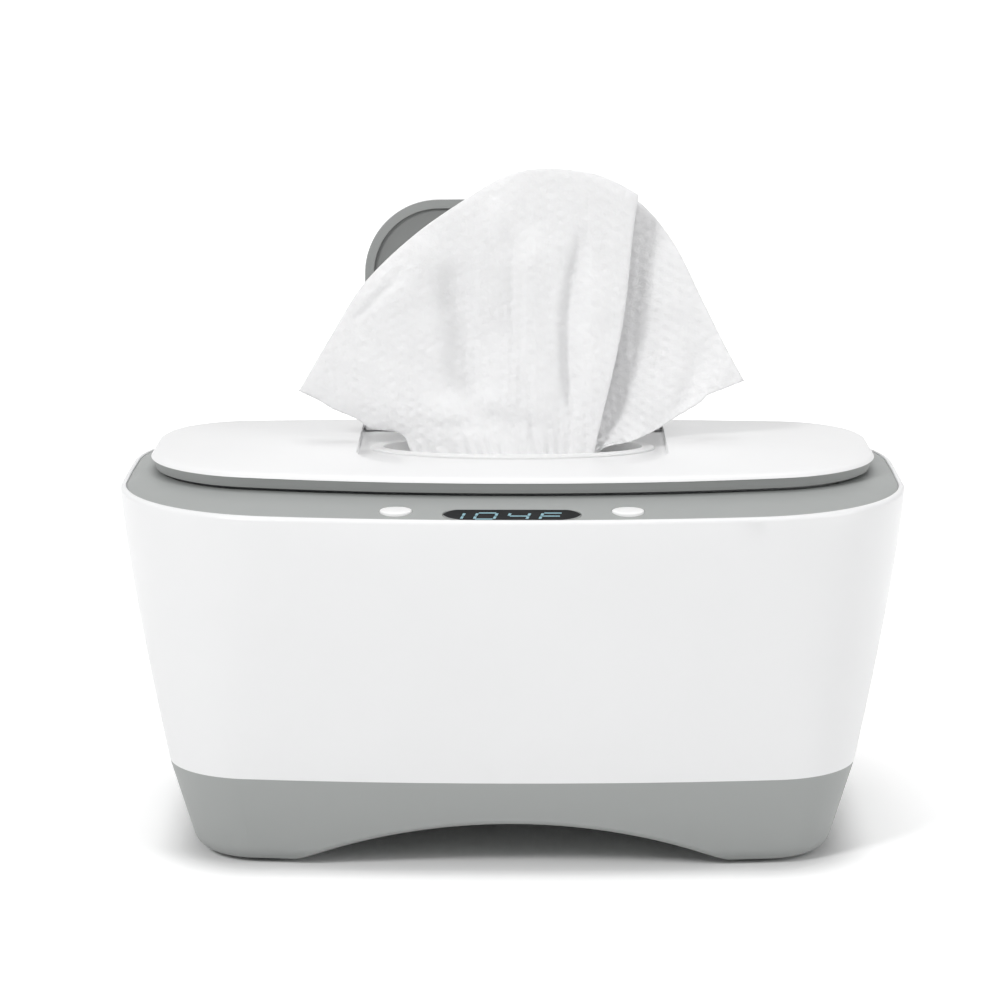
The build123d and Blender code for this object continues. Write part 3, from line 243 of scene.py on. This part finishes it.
def noise_field(tree, place, scale, detail=3.0, roughness=0.5):
    """A noise over a place, with its scale in cycles per metre."""
    field = tree.nodes.new("ShaderNodeTexNoise")
    field.inputs["Scale"].default_value = scale
    field.inputs["Detail"].default_value = detail
    field.inputs["Roughness"].default_value = roughness
    tree.links.new(place, field.inputs["Vector"])
    return field.outputs["Fac"]


def spread(tree, value, low, high):
    """Maps a 0 to 1 field to a range."""
    mapped = tree.nodes.new("ShaderNodeMapRange")
    mapped.inputs["From Min"].default_value = 0.3
    mapped.inputs["From Max"].default_value = 0.7
    mapped.inputs["To Min"].default_value = low
    mapped.inputs["To Max"].default_value = high
    tree.links.new(value, mapped.inputs["Value"])
    return mapped.outputs["Result"]


def mixed(tree, value, first, second):
    """A mix of two colours, of which the first may be another node's colour."""
    mix = tree.nodes.new("ShaderNodeMix")
    mix.data_type = "RGBA"
    if isinstance(first, tuple):
        mix.inputs["A"].default_value = (*first, 1.0)
    else:
        tree.links.new(first, mix.inputs["A"])
    mix.inputs["B"].default_value = (*second, 1.0)
    tree.links.new(value, mix.inputs["Factor"])
    return mix.outputs["Result"]


def tint(tree, value, shader, colour, darker):
    """Lets the base colour vary between a colour and a slightly darker one."""
    shaded = tuple(part * darker for part in colour)
    tree.links.new(mixed(tree, value, shaded, colour), shader.inputs["Base Color"])


def grain(tree, shader, height, depth, strength):
    """A bump from a height field."""
    bump = tree.nodes.new("ShaderNodeBump")
    bump.inputs["Distance"].default_value = depth
    bump.inputs["Strength"].default_value = strength
    tree.links.new(height, bump.inputs["Height"])
    tree.links.new(bump.outputs["Normal"], shader.inputs["Normal"])


def moulded(name, colour, roughness, grain_scale=2600.0, grain_strength=0.25, variation=0.985):
    """Injection-moulded plastic: a fine texture, faint flow marks and slightly uneven gloss."""
    material, tree, shader, place = new_material(name, roughness)
    flow = noise_field(tree, place, 14.0, 2.0)
    tint(tree, spread(tree, flow, 0.0, 1.0), shader, colour, variation)
    gloss = noise_field(tree, place, 60.0, 3.0)
    tree.links.new(spread(tree, gloss, roughness - 0.03, roughness + 0.04), shader.inputs["Roughness"])
    grain(tree, shader, noise_field(tree, place, grain_scale, 2.0), 0.03 * MM, grain_strength)
    return material


def rubbery(name, colour, variation=0.9):
    """Matte moulded rubber with a slightly dusty surface."""
    material, tree, shader, place = new_material(name, 0.8, 0.3)
    tint(tree, spread(tree, noise_field(tree, place, 90.0), 0.0, 1.0), shader, colour, variation)
    grain(tree, shader, noise_field(tree, place, 1800.0), 0.05 * MM, 0.4)
    return material


def translucent_rubber(name, colour):
    """Pale silicone rubber that lets some light through."""
    material = rubbery(name, colour, variation=0.97)
    shader = material.node_tree.nodes["Principled BSDF"]
    shader.inputs["Subsurface Weight"].default_value = 0.6
    shader.inputs["Subsurface Radius"].default_value = (1.0, 1.0, 1.0)
    shader.inputs["Subsurface Scale"].default_value = 5.0 * MM
    return material


def metal(name, colour, roughness, brush=(1.0, 1.0, 1.0)):
    """Metal with fine tool marks, drawn out along the axes with a small brush factor."""
    material, tree, shader, place = new_material(name, roughness)
    shader.inputs["Metallic"].default_value = 1.0
    stretch = tree.nodes.new("ShaderNodeMapping")
    stretch.inputs["Scale"].default_value = brush
    tree.links.new(place, stretch.inputs["Vector"])
    marks = noise_field(tree, stretch.outputs["Vector"], 1500.0, 4.0)
    tint(tree, spread(tree, marks, 0.0, 1.0), shader, colour, 0.85)
    tree.links.new(spread(tree, marks, roughness - 0.08, roughness + 0.08), shader.inputs["Roughness"])
    grain(tree, shader, marks, 0.02 * MM, 0.3)
    return material


def felt(name, colour):
    """Matted insulation fibre."""
    material, tree, shader, place = new_material(name, 0.95, 0.1)
    fibre = noise_field(tree, place, 700.0, 6.0, 0.7)
    tint(tree, spread(tree, fibre, 0.0, 1.0), shader, colour, 0.75)
    grain(tree, shader, fibre, 0.5 * MM, 0.6)
    return material


def heater_film_material():
    """Amber film with a meandering printed track."""
    material, tree, shader, place = new_material("heater_track", 0.35)
    wave = tree.nodes.new("ShaderNodeTexWave")
    wave.wave_type = "BANDS"
    wave.bands_direction = "Y"
    wave.inputs["Scale"].default_value = 22.0
    wave.inputs["Distortion"].default_value = 0.4
    tree.links.new(place, wave.inputs["Vector"])
    tint(tree, spread(tree, wave.outputs["Fac"], 0.0, 1.0), shader, (0.62, 0.30, 0.06), 0.55)
    return material


def dark_glass():
    """The tinted display window: dark between its pointed ends, and printed grey outside them."""
    low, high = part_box("display_window")
    half_height = 5.3 * MM
    end_radius = 7.4 * MM
    edge_blur = 0.10 * MM
    end_length = (end_radius**2 - (end_radius - half_height) ** 2) ** 0.5
    material, tree, shader, place = new_material("display_glass", 0.5, 0.0)
    middle = ((low[0] + high[0]) / 2, (low[1] + high[1]) / 2, 0.0)
    around = vector_step(tree, "SUBTRACT", place, middle)
    straight = ((high[0] - low[0]) / 2 - end_length, half_height - end_radius, 1.0)
    edge = tree.nodes.new("ShaderNodeMapRange")
    edge.inputs["From Min"].default_value = end_radius - edge_blur
    edge.inputs["From Max"].default_value = end_radius + edge_blur / 2
    tree.links.new(away_from_box(tree, around, straight), edge.inputs["Value"])
    mottle = spread(tree, noise_field(tree, place, 120.0), 0.0, 1.0)
    dark = mixed(tree, mottle, (0.030, 0.031, 0.032), (0.042, 0.043, 0.044))
    printed = mixed(tree, edge.outputs["Result"], dark, (0.33, 0.34, 0.335))
    tree.links.new(printed, shader.inputs["Base Color"])
    return material


def lit_segment():
    """Softly lit pale blue display segments, with a little unevenness."""
    material, tree, shader, place = new_material("display_light", 0.5)
    uneven = spread(tree, noise_field(tree, place, 900.0), 0.0, 1.0)
    tint(tree, uneven, shader, (0.195, 0.335, 0.37), 0.8)
    shader.inputs["Emission Color"].default_value = (0.30, 0.62, 0.78, 1.0)
    shader.inputs["Emission Strength"].default_value = 0.22
    return material


def cloth():
    """Damp nonwoven cloth on its own UV in metres: dimples, fine fibres and an uneven thickness."""
    material, tree, shader, _ = new_material("wipe_cloth", 0.85, 0.25)
    shader.inputs["Sheen Weight"].default_value = 0.15
    shader.inputs["Sheen Roughness"].default_value = 0.6
    flat = tree.nodes.new("ShaderNodeUVMap").outputs["UV"]
    dimples = tree.nodes.new("ShaderNodeTexVoronoi")
    dimples.feature = "SMOOTH_F1"
    dimples.inputs["Scale"].default_value = 280.0
    dimples.inputs["Randomness"].default_value = 0.6
    dimples.inputs["Smoothness"].default_value = 0.5
    tree.links.new(flat, dimples.inputs["Vector"])
    fibres = noise_field(tree, flat, 1300.0, 5.0, 0.65)
    thin = noise_field(tree, flat, 160.0, 4.0)
    tint(tree, spread(tree, thin, 0.0, 1.0), shader, (0.935, 0.935, 0.94), 0.965)
    height = tree.nodes.new("ShaderNodeMath")
    height.operation = "MULTIPLY_ADD"
    height.inputs[1].default_value = -1.1
    tree.links.new(dimples.outputs["Distance"], height.inputs[0])
    tree.links.new(fibres, height.inputs[2])
    grain(tree, shader, height.outputs[0], 0.6 * MM, 0.7)
    return material


white_plastic = moulded("white_plastic", (0.865, 0.868, 0.872), 0.34)
lid_plastic = moulded("lid_plastic", (0.875, 0.875, 0.878), 0.34, grain_strength=0.15)
button_plastic = moulded("button_plastic", (0.97, 0.97, 0.97), 0.35, grain_strength=0.1)
grey_plastic = moulded("grey_plastic", (0.355, 0.368, 0.362), 0.46)
deck_plastic = moulded("deck_plastic", (0.345, 0.358, 0.352), 0.50)
liner_plastic = moulded("liner_plastic", (0.365, 0.375, 0.370), 0.50, grain_strength=0.4)
flap_plastic = moulded("flap_plastic", (0.315, 0.325, 0.320), 0.50)
# Rougher panel plastic, coloured darker as painted shade for the flap's recess.
panel_plastic_and_shade = moulded("panel_plastic_and_shade", (0.235, 0.242, 0.238), 0.60, 1500.0, grain_strength=0.6)
insert_rubber = translucent_rubber("insert_rubber", (0.955, 0.955, 0.955))
gasket_rubber = rubbery("gasket_rubber", (0.62, 0.63, 0.64))
foot_rubber = rubbery("foot_rubber", (0.035, 0.035, 0.037))
tub_plastic = moulded("tub_plastic", (0.80, 0.80, 0.79), 0.30)
inner_plastic = moulded("inner_plastic", (0.62, 0.62, 0.59), 0.55)
black_plastic = moulded("black_plastic", (0.018, 0.018, 0.019), 0.45, variation=0.7)
board_green = moulded("board_green", (0.02, 0.14, 0.05), 0.35, variation=0.8)
wire_cover = moulded("wire_cover", (0.42, 0.035, 0.025), 0.45)
steel = metal("screw_steel", (0.60, 0.60, 0.61), 0.35, brush=(1.0, 0.1, 1.0))
aluminium = metal("spreader_aluminium", (0.76, 0.77, 0.78), 0.35, brush=(0.05, 1.0, 1.0))
felt_pad = felt("insulation_felt", (0.66, 0.63, 0.54))
film = heater_film_material()
glass = dark_glass()
segment_light = lit_segment()
wipe_cloth = cloth()


# ---------------------------------------------------------------- CAD nodes that keep their shape

KEPT = {
    steel: ("base_screws", "lid_hinge_pin", "deck_screws", "tub_screws", "thermal_fuse", "heater_screws",
            "jack_nut", "board_screws", "lid_screws", "flap_hinge_pins"),
    aluminium: ("heat_spreader",),
    felt_pad: ("insulation_pad",),
    film: ("heater_film",),
    inner_plastic: ("heater_cover", "insert_retainer"),
    black_plastic: ("temperature_sensor", "power_jack", "tact_switches", "board_parts", "display_module"),
    board_green: ("control_board",),
    wire_cover: ("heater_leads", "sensor_leads", "power_leads"),
    foot_rubber: ("rubber_feet",),
    gasket_rubber: ("lid_gasket",),
}
for finish, names in KEPT.items():
    for name in names:
        nodes[name].data.materials.clear()
        nodes[name].data.materials.append(finish)


# ---------------------------------------------------------------- shells, shaded smoothly

PANEL_DROP = 0.5 * MM


def finish_and_shade_flap_panel(liner):
    """The flap's sunken panel is rougher than its rim, and coloured darker as painted shade in the recess.
    """
    liner.data.materials.append(panel_plastic_and_shade)
    forward = [face for face in liner.data.polygons if face.normal.y < -0.5]
    outward = max(forward, key=lambda face: face.area).normal.copy()
    flat = [face for face in forward if face.normal.dot(outward) > 0.995]
    rim = max(face.center.dot(outward) for face in flat)
    for face in flat:
        if face.center.dot(outward) < rim - PANEL_DROP:
            face.material_index = 1


def dress_shells():
    """The visible shells keep the CAD shape, with their own finish, painted shade on the flap's sunken
    panel, and smooth shading.
    """
    for node, body, finish in (
        ("outer_shell", "housing", white_plastic),
        ("base_cover", "housing", grey_plastic),
        ("deck_bezel", "housing", deck_plastic),
        ("inner_tub", "housing", tub_plastic),
        ("display_window", "housing", glass),
        ("power_button", "power_button", button_plastic),
        ("heat_button", "heat_button", button_plastic),
        ("lid_cover", "main_lid", lid_plastic),
        ("lid_liner", "main_lid", liner_plastic),
        ("dispenser_insert", "main_lid", insert_rubber),
        ("flap_cover", "flap", lid_plastic),
        ("flap_liner", "flap", flap_plastic),
    ):
        piece = dressed(node, body, finish)
        # The flap liner's sunken panel takes painted shade.
        if node == "flap_liner":
            finish_and_shade_flap_panel(piece)


# ---------------------------------------------------------------- the pulled wipe

# The cloth laid out flat is in metres. All other sizes of the wipe are in millimetres.
WIPE_Y = 9.7
WIPE_WALL = 0.35
# The wipe leaves the slot at the neck, and its tail hangs below by this share of its height.
NECK_HEIGHT = 137.0
WIPE_TAIL = 0.16
TAIL_DEPTH = 100.0
TAIL_SPREAD = 0.25
SLOT_LEFT = -36.0
FOLD_FOOT = 29.5
TURN_FOOT = -4.0
SLOT_RIGHT = 31.5

# The free edge from the left corner over the top to the front fold, from there behind the front
# layer to the hidden turn, and from the turn out to the right corner: x, depth and height.
FRONT_EDGE = (
    (-81.4, 2.0, 162.7),
    (-69.6, 0.0, 183.2),
    (-56.4, -1.0, 204.4),
    (-38.8, -1.0, 221.5),
    (-17.8, 0.0, 236.5),
    (-2.6, 1.0, 245.2),
    (9.8, 1.5, 247.7),
    (24.4, 1.0, 247.1),
    (35.6, 0.0, 244.4),
    (46.6, -0.7, 238.6),
)
HIDDEN_EDGE = (
    (46.8, 2.0, 237.4),
    (38.0, 6.0, 238.0),
    (14.0, 7.5, 240.0),
)
BACK_EDGE = (
    (10.5, 9.3, 240.2),
    (14.0, 11.0, 240.4),
    (30.0, 11.6, 240.6),
    (46.0, 11.4, 235.5),
    (60.2, 10.4, 220.0),
    (72.1, 8.4, 197.1),
    (81.4, 6.0, 178.8),
    (88.1, 3.5, 166.7),
)

# The lower borders, from the slot out to the two corners: the share of the way up, and x and height.
LEFT_BORDER = (
    (0.000, (SLOT_LEFT, NECK_HEIGHT)),
    (0.078, (-38.9, 140.5)),
    (0.177, (-40.9, 145.0)),
    (0.260, (-44.7, 147.2)),
    (0.376, (-51.0, 147.9)),
    (0.463, (-55.3, 149.2)),
    (0.537, (-58.5, 151.8)),
    (0.736, (-68.6, 156.0)),
    (0.850, (-73.9, 159.2)),
    (1.000, (-81.4, 162.7)),
)
RIGHT_BORDER = (
    (0.000, (SLOT_RIGHT, NECK_HEIGHT)),
    (0.087, (34.5, 141.2)),
    (0.239, (44.0, 143.6)),
    (0.387, (53.0, 147.0)),
    (0.563, (62.8, 153.0)),
    (0.722, (71.6, 158.8)),
    (0.781, (74.0, 161.6)),
    (0.888, (81.0, 164.2)),
    (1.000, (88.1, 166.7)),
)


def ease(value, low, high):
    """0 below low and 1 above high, with a smooth step between them."""
    share = min(max((value - low) / (high - low), 0.0), 1.0)
    return share * share * (3.0 - 2.0 * share)


def along(places, share):
    """A smooth curve through places that are given with their shares."""
    index = max(i for i in range(len(places) - 1) if places[i][0] <= share or i == 0)
    (s0, start), (s1, end) = places[index], places[index + 1]
    before, after = places[max(index - 1, 0)], places[min(index + 2, len(places) - 1)]
    slope0 = (end - before[1]) / (s1 - before[0])
    slope1 = (after[1] - start) / (after[0] - s0)
    width = s1 - s0
    t = min(max((share - s0) / width, 0.0), 1.0)
    return (
        start * (2 * t**3 - 3 * t**2 + 1)
        + slope0 * width * (t**3 - 2 * t**2 + t)
        + end * (3 * t**2 - 2 * t**3)
        + slope1 * width * (t**3 - t**2)
    )


def wipe_edge():
    """The free edge with each place's share of its length, and the shares of the fold and of the turn."""
    places = [Vector(place) for place in FRONT_EDGE + HIDDEN_EDGE + BACK_EDGE]
    run = [0.0]
    for one, other in zip(places, places[1:]):
        run.append(run[-1] + (other - one).length)
    shares = [length / run[-1] for length in run]
    fold = (shares[len(FRONT_EDGE) - 1] + shares[len(FRONT_EDGE)]) / 2
    turn = shares[len(FRONT_EDGE) + len(HIDDEN_EDGE)]
    return list(zip(shares, places)), fold, turn


# Along the slot the cloth lies in three layers, which turn over within this share of its edge.
TURN_REACH = 0.012
EDGE, FOLD, TURN = wipe_edge()
FOOT = [
    (0.0, Vector((SLOT_LEFT, -0.4, NECK_HEIGHT))),
    (FOLD - TURN_REACH, Vector((FOLD_FOOT, -0.5, NECK_HEIGHT))),
    (FOLD + TURN_REACH, Vector((FOLD_FOOT, 0.8, NECK_HEIGHT))),
    (TURN - TURN_REACH, Vector((TURN_FOOT, 1.4, NECK_HEIGHT))),
    (TURN + TURN_REACH, Vector((TURN_FOOT, 2.4, NECK_HEIGHT))),
    (1.0, Vector((SLOT_RIGHT, 2.2, NECK_HEIGHT))),
]


# Folds of the two visible layers: the places of each by height and x, its width, how far it stands
# out to the front (a valley where that is negative), and the length over which its ends fade.
FRONT_FOLDS = (
    (((152.0, -50.0), (186.0, -52.0), (214.0, -38.0)), 18.0, 5.0, 16.0),
    (((150.0, -3.0), (156.5, -14.0), (167.0, -17.5), (186.0, -19.0), (207.0, -24.0)), 11.5, -10.5, 14.0),
    (((192.0, -11.0), (214.0, -8.0), (236.0, -5.0)), 9.0, 4.4, 12.0),
    (((138.0, 13.5), (166.0, 12.0), (197.0, 7.5), (220.0, 6.0)), 6.0, 5.0, 10.0),
    (((138.0, 24.5), (153.0, 22.6), (179.0, 21.0), (201.0, 22.4), (219.0, 25.0)), 3.8, -4.4, 10.0),
    (((160.0, 31.0), (180.0, 31.0), (206.0, 33.0)), 4.5, 1.6, 9.0),
    (((192.0, -58.5), (200.0, -50.5), (208.0, -43.0)), 2.6, -1.8, 5.0),
    (((134.0, 7.2), (143.0, 7.4), (150.0, 8.2)), 1.5, -1.8, 4.0),
)
BACK_FOLDS = (
    (((140.0, 42.0), (165.0, 54.0), (200.0, 60.0)), 7.0, 2.0, 9.0),
    (((148.0, 55.0), (160.0, 66.0), (180.0, 70.0)), 5.0, -1.8, 9.0),
    (((158.0, 74.0), (168.0, 79.0), (178.0, 78.0)), 6.0, 1.6, 9.0),
)
# The bulge over the neck and the hollow below it: middle and reach, by x and height, and size.
FRONT_SWELLS = (
    ((-17.0, 157.5), (13.0, 4.5), 3.6),
    ((-16.0, 149.5), (14.0, 3.0), -2.4),
)
# Small wrinkles: their width, height, seed and size.
WRINKLES = (
    (21.0, 27.0, 3.3, 1.3),
    (8.0, 11.0, 7.1, 0.5),
)
# Fine pleats at the neck: how many, their size, and how they crowd together.
PLEAT_COUNT = 26.0
PLEAT_SIZE = 0.75
PLEAT_CROWDS = 5.0
PLEAT_CROWDING = 2.2
# How far the left border and the free edge curl back, and the front fold bows out to its side.
LEFT_CURL = 2.6
TOP_CURL = 0.9
FOLD_BOW = 2.3
# Shares of the edge's length, or of the way up, over which these die away.
LEFT_BOW_REACH = 0.12
RIGHT_BOW_REACH = 0.10
FOLD_BOW_REACH = 0.06
PLEAT_REACH = 0.10
LEFT_CURL_REACH = 0.018
TOP_CURL_REACH = 0.02
DIMPLE_PITCH = 3.5
DIMPLE_DEPTH = 0.36
DIMPLE_DRIFT = 0.9
DIMPLE_DRIFT_PITCH = 9.0


def ridge(x, z, path, width, height, fade):
    """How far a rounded ridge stands out at x and z, or a valley where its height is negative."""
    low, high = path[0][0], path[-1][0]
    if not low - fade < z < high + fade:
        return 0.0
    ends = ease(z, low - fade, low + fade) * (1.0 - ease(z, high - fade, high + fade))
    return height * ends * exp(-(((x - along(path, z)) / width) ** 2))


def swell(x, z, middle, reach, height):
    """How far a soft round bump stands out at x and z."""
    return height * exp(-(((x - middle[0]) / reach[0]) ** 2) - ((z - middle[1]) / reach[1]) ** 2)


def front_relief(x, z):
    """How far the folds of the front layer stand out."""
    folds = sum(ridge(x, z, *fold) for fold in FRONT_FOLDS)
    return folds + sum(swell(x, z, *bump) for bump in FRONT_SWELLS)


def back_relief(x, z):
    """How far the gentler folds of the back layer stand out."""
    return sum(ridge(x, z, *fold) for fold in BACK_FOLDS)


LEFT_PATH = [(share, Vector(place)) for share, place in LEFT_BORDER]
RIGHT_PATH = [(share, Vector(place)) for share, place in RIGHT_BORDER]


def border_pull(path, up):
    """How far a lower border bows away from the straight line between its ends, in x and height."""
    return along(path, up) - path[0][1].lerp(path[-1][1], up)


def wipe_base(foot, edge, across, up):
    """A place on the wipe without its folds, between its foot in the slot and the free edge."""
    place = foot.lerp(edge, up) if up > 0.0 else foot + Vector((0.0, 0.0, TAIL_DEPTH * up))
    if up > 0.0:
        pull = border_pull(LEFT_PATH, up) * exp(-across / LEFT_BOW_REACH)
        pull += border_pull(RIGHT_PATH, up) * exp(-(1.0 - across) / RIGHT_BOW_REACH)
        place.x += pull.x
        place.z += pull.y
        place.x += FOLD_BOW * exp(-(((across - FOLD) / FOLD_BOW_REACH) ** 2)) * sin(pi * up) ** 2
    place.y = foot.y + (edge.y - foot.y) * ease(up, -0.02, 0.38)
    place.x *= 1.0 + TAIL_SPREAD * ease(-up, 0.05, WIPE_TAIL)
    return place


def wipe_folds(place, across, up):
    """How far the folds and wrinkles stand out to the front at a place on the wipe."""
    free = ease(up, 0.0, 0.30)
    in_front = 1.0 - ease(across, FOLD - 0.035, FOLD)
    behind = ease(across, TURN + 0.03, TURN + 0.10)
    layer = 3.0 * ease(across, FOLD, TURN)
    folds = front_relief(place.x, place.z) * in_front * (0.22 + 0.78 * free)
    folds += back_relief(place.x, place.z) * behind * free
    for width, height, seed, size in WRINKLES:
        folds += size * noise.noise(Vector((place.x / width, place.z / height, layer + seed))) * free
    pleats = sin(tau * across * PLEAT_COUNT + PLEAT_CROWDING * sin(tau * across * PLEAT_CROWDS))
    held = exp(-max(up, 0.0) / PLEAT_REACH) * (0.3 + 0.7 * ease(up, -0.05, 0.02))
    folds += PLEAT_SIZE * pleats * held
    folds -= LEFT_CURL * exp(-across / LEFT_CURL_REACH) * ease(up, 0.02, 0.3)
    folds -= TOP_CURL * exp(-(1.0 - up) / TOP_CURL_REACH)
    return folds


def emboss(u, v):
    """The pressed dimples of the cloth, in uneven rows: 0 on the cloth and down to -1 in a dimple."""
    u += DIMPLE_DRIFT * noise.noise(Vector((u / DIMPLE_DRIFT_PITCH, v / DIMPLE_DRIFT_PITCH, 1.2)))
    v += DIMPLE_DRIFT * noise.noise(Vector((u / DIMPLE_DRIFT_PITCH, v / DIMPLE_DRIFT_PITCH, 8.4)))
    waves = tau / DIMPLE_PITCH
    rows = sum(cos(waves * (u * cos(turn) + v * sin(turn))) for turn in (0.0, pi / 3, tau / 3)) / 3.0
    return -max(rows, -0.2)


def make_pulled_wipe():
    """The half-drawn wipe as one folded sheet, with the cloth laid out flat as its UV."""
    across_steps, up_steps = 300, 140
    shares = [column / across_steps for column in range(across_steps + 1)]
    ribs = [(along(FOOT, share), along(EDGE, share)) for share in shares]
    fold_rib, turn_rib = round(FOLD * across_steps), round(TURN * across_steps)
    mesh = bmesh.new()
    bmesh.ops.create_grid(mesh, x_segments=across_steps, y_segments=up_steps, size=0.5)
    flat = {}
    for vertex in mesh.verts:
        column = round((vertex.co.x + 0.5) * across_steps)
        across = shares[column]
        up = (vertex.co.y + 0.5) * (1.0 + WIPE_TAIL) - WIPE_TAIL
        place = wipe_base(*ribs[column], across, up)
        fold_x = wipe_base(*ribs[fold_rib], FOLD, up).x
        turn_x = wipe_base(*ribs[turn_rib], TURN, up).x
        if column <= fold_rib:
            u = place.x
        elif column <= turn_rib:
            u = 2 * fold_x - place.x
        else:
            u = 2 * fold_x - 2 * turn_x + place.x
        flat[vertex] = (u * MM, place.z * MM)
        dimple = DIMPLE_DEPTH * emboss(u, place.z) * ease(up, 0.0, 0.12)
        place.y += WIPE_Y - (wipe_folds(place, across, up) + dimple)
        vertex.co = place * MM
    uv = mesh.loops.layers.uv.verify()
    for face in mesh.faces:
        for corner in face.loops:
            corner[uv].uv = flat[corner.vert]
    piece = smooth(mesh_object("drawn_wipe", mesh), 180.0)
    wall = piece.modifiers.new("thickness", "SOLIDIFY")
    wall.thickness = WIPE_WALL * MM
    placed(piece, "main_lid", wipe_cloth, "pulled_wipe")
    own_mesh(piece)


# ---------------------------------------------------------------- the stack of folded wipes

LAYERS = 26
LAYER_SLACK = 3.0 * MM
LAYER_SHIFT = 1.2 * MM
LAYER_CORNER = 5.0 * MM
# The layers' shifts start from this seed, so that each run gives the same stack.
LAYER_SEED = 1


def rise(edge):
    """How far an edge climbs."""
    return abs(edge.verts[0].co.z - edge.verts[1].co.z)


def make_wipe_stack():
    """Interleaved folded wipes, each a soft rounded layer slightly out of line with its neighbours."""
    low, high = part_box("wipe_stack")
    length, depth = high[0] - low[0], high[1] - low[1]
    pitch = (high[2] - low[2]) / LAYERS
    size = (length - LAYER_SLACK, depth - LAYER_SLACK, pitch * 0.96)
    mesh = bmesh.new()
    noise.seed_set(LAYER_SEED)
    for layer in range(LAYERS):
        made = bmesh.ops.create_cube(mesh, size=1.0)["verts"]
        shift = noise.noise_vector(Vector((layer * 1.7, 4.1, 0.3))) * LAYER_SHIFT
        bmesh.ops.scale(mesh, vec=size, verts=made)
        bmesh.ops.translate(mesh, vec=(shift.x, shift.y, low[2] + (layer + 0.5) * pitch), verts=made)
        edges = {edge for vertex in made for edge in vertex.link_edges}
        upright = [edge for edge in edges if rise(edge) > pitch / 2]
        rounded = bmesh.ops.bevel(mesh, geom=upright, offset=LAYER_CORNER, segments=4,
                                  affect="EDGES", profile=0.5, material=-1)["faces"]
        corners = {vertex for face in rounded for vertex in face.verts}
        rims = {edge for vertex in corners for edge in vertex.link_edges if rise(edge) < pitch / 4}
        bmesh.ops.bevel(mesh, geom=list(rims), offset=pitch * 0.42, segments=3,
                        affect="EDGES", profile=0.5, material=-1)
    uv = mesh.loops.layers.uv.verify()
    for face in mesh.faces:
        for corner in face.loops:
            place = corner.vert.co
            corner[uv].uv = (place.x + place.z, place.y + place.z)
    piece = smooth(mesh_object("folded_wipes", mesh), 50.0)
    placed(piece, "housing", wipe_cloth, "wipe_stack")


# ---------------------------------------------------------------- display digits

SHOWN = "104F"
SEGMENTS = {"1": "bc", "0": "abcdef", "4": "fgbc", "F": "aefg"}
# Sizes of a figure, in millimetres: its width and height, its bars, and how far it leans per height.
FIGURE_WIDTH = 7.0
FIGURE_HEIGHT = 6.4
BAR_WIDTH = 0.95
BAR_GAP = 0.9 * BAR_WIDTH
BAR_THICKNESS = 0.06
LEAN = 0.2
# The row starts left of the window's middle, and lies a little to its front.
ROW_LEFT = -25.0
FIGURE_PITCH = 11.6
ROW_FORWARD = -1.7
ABOVE_WINDOW = 0.03 * MM


def bar_ends():
    """The seven bars of a figure, each from one end to the other."""
    right, top, half = FIGURE_WIDTH, FIGURE_HEIGHT, FIGURE_HEIGHT / 2
    return {
        "a": ((0, top), (right, top)),
        "b": ((right, top), (right, half)),
        "c": ((right, half), (right, 0)),
        "d": ((0, 0), (right, 0)),
        "e": ((0, 0), (0, half)),
        "f": ((0, half), (0, top)),
        "g": ((0, half), (right, half)),
    }


def make_digits():
    """A temperature in leaning seven-bar figures, just above the window's face."""
    window = nodes["display_window"].data
    facing_up = [face for face in window.polygons if face.normal.z > 0.9]
    normal = max(facing_up, key=lambda face: face.area).normal
    face_height = max(vertex.co.dot(normal) for vertex in window.vertices)
    low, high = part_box("display_window")
    middle = (Vector(low) + Vector(high)) / 2
    middle += normal * (face_height - middle.dot(normal) + ABOVE_WINDOW)
    slope = Matrix.Rotation(normal.angle(Vector((0, 0, 1))), 4, "X")
    bars = bar_ends()
    mesh = bmesh.new()
    for index, figure in enumerate(SHOWN):
        left = ROW_LEFT + index * FIGURE_PITCH
        for name in SEGMENTS[figure]:
            (x0, y0), (x1, y1) = bars[name]
            start = Vector((left + x0 + LEAN * y0, y0 - FIGURE_HEIGHT / 2 + ROW_FORWARD, 0))
            end = Vector((left + x1 + LEAN * y1, y1 - FIGURE_HEIGHT / 2 + ROW_FORWARD, 0))
            size = ((end - start).length - BAR_GAP, BAR_WIDTH, BAR_THICKNESS)
            turn = (end - start).to_track_quat("X", "Z").to_matrix()
            made = bmesh.ops.create_cube(mesh, size=1.0)["verts"]
            bmesh.ops.scale(mesh, vec=size, verts=made)
            bmesh.ops.rotate(mesh, cent=(0, 0, 0), matrix=turn, verts=made)
            bmesh.ops.translate(mesh, vec=(start + end) / 2, verts=made)
    bmesh.ops.transform(mesh, matrix=Matrix.Scale(MM, 4), verts=mesh.verts)
    bmesh.ops.transform(mesh, matrix=Matrix.Translation(middle) @ slope, verts=mesh.verts)
    placed(mesh_object("display_digits", mesh), "housing", segment_light)


# ---------------------------------------------------------------- the scene

place_camera()
light_world()
lay_floor()
for lamp_row in LAMPS:
    soft_lamp(*lamp_row)
dress_shells()
make_pulled_wipe()
make_wipe_stack()
make_digits()

scene = bpy.context.scene
scene.view_settings.view_transform = "Standard"
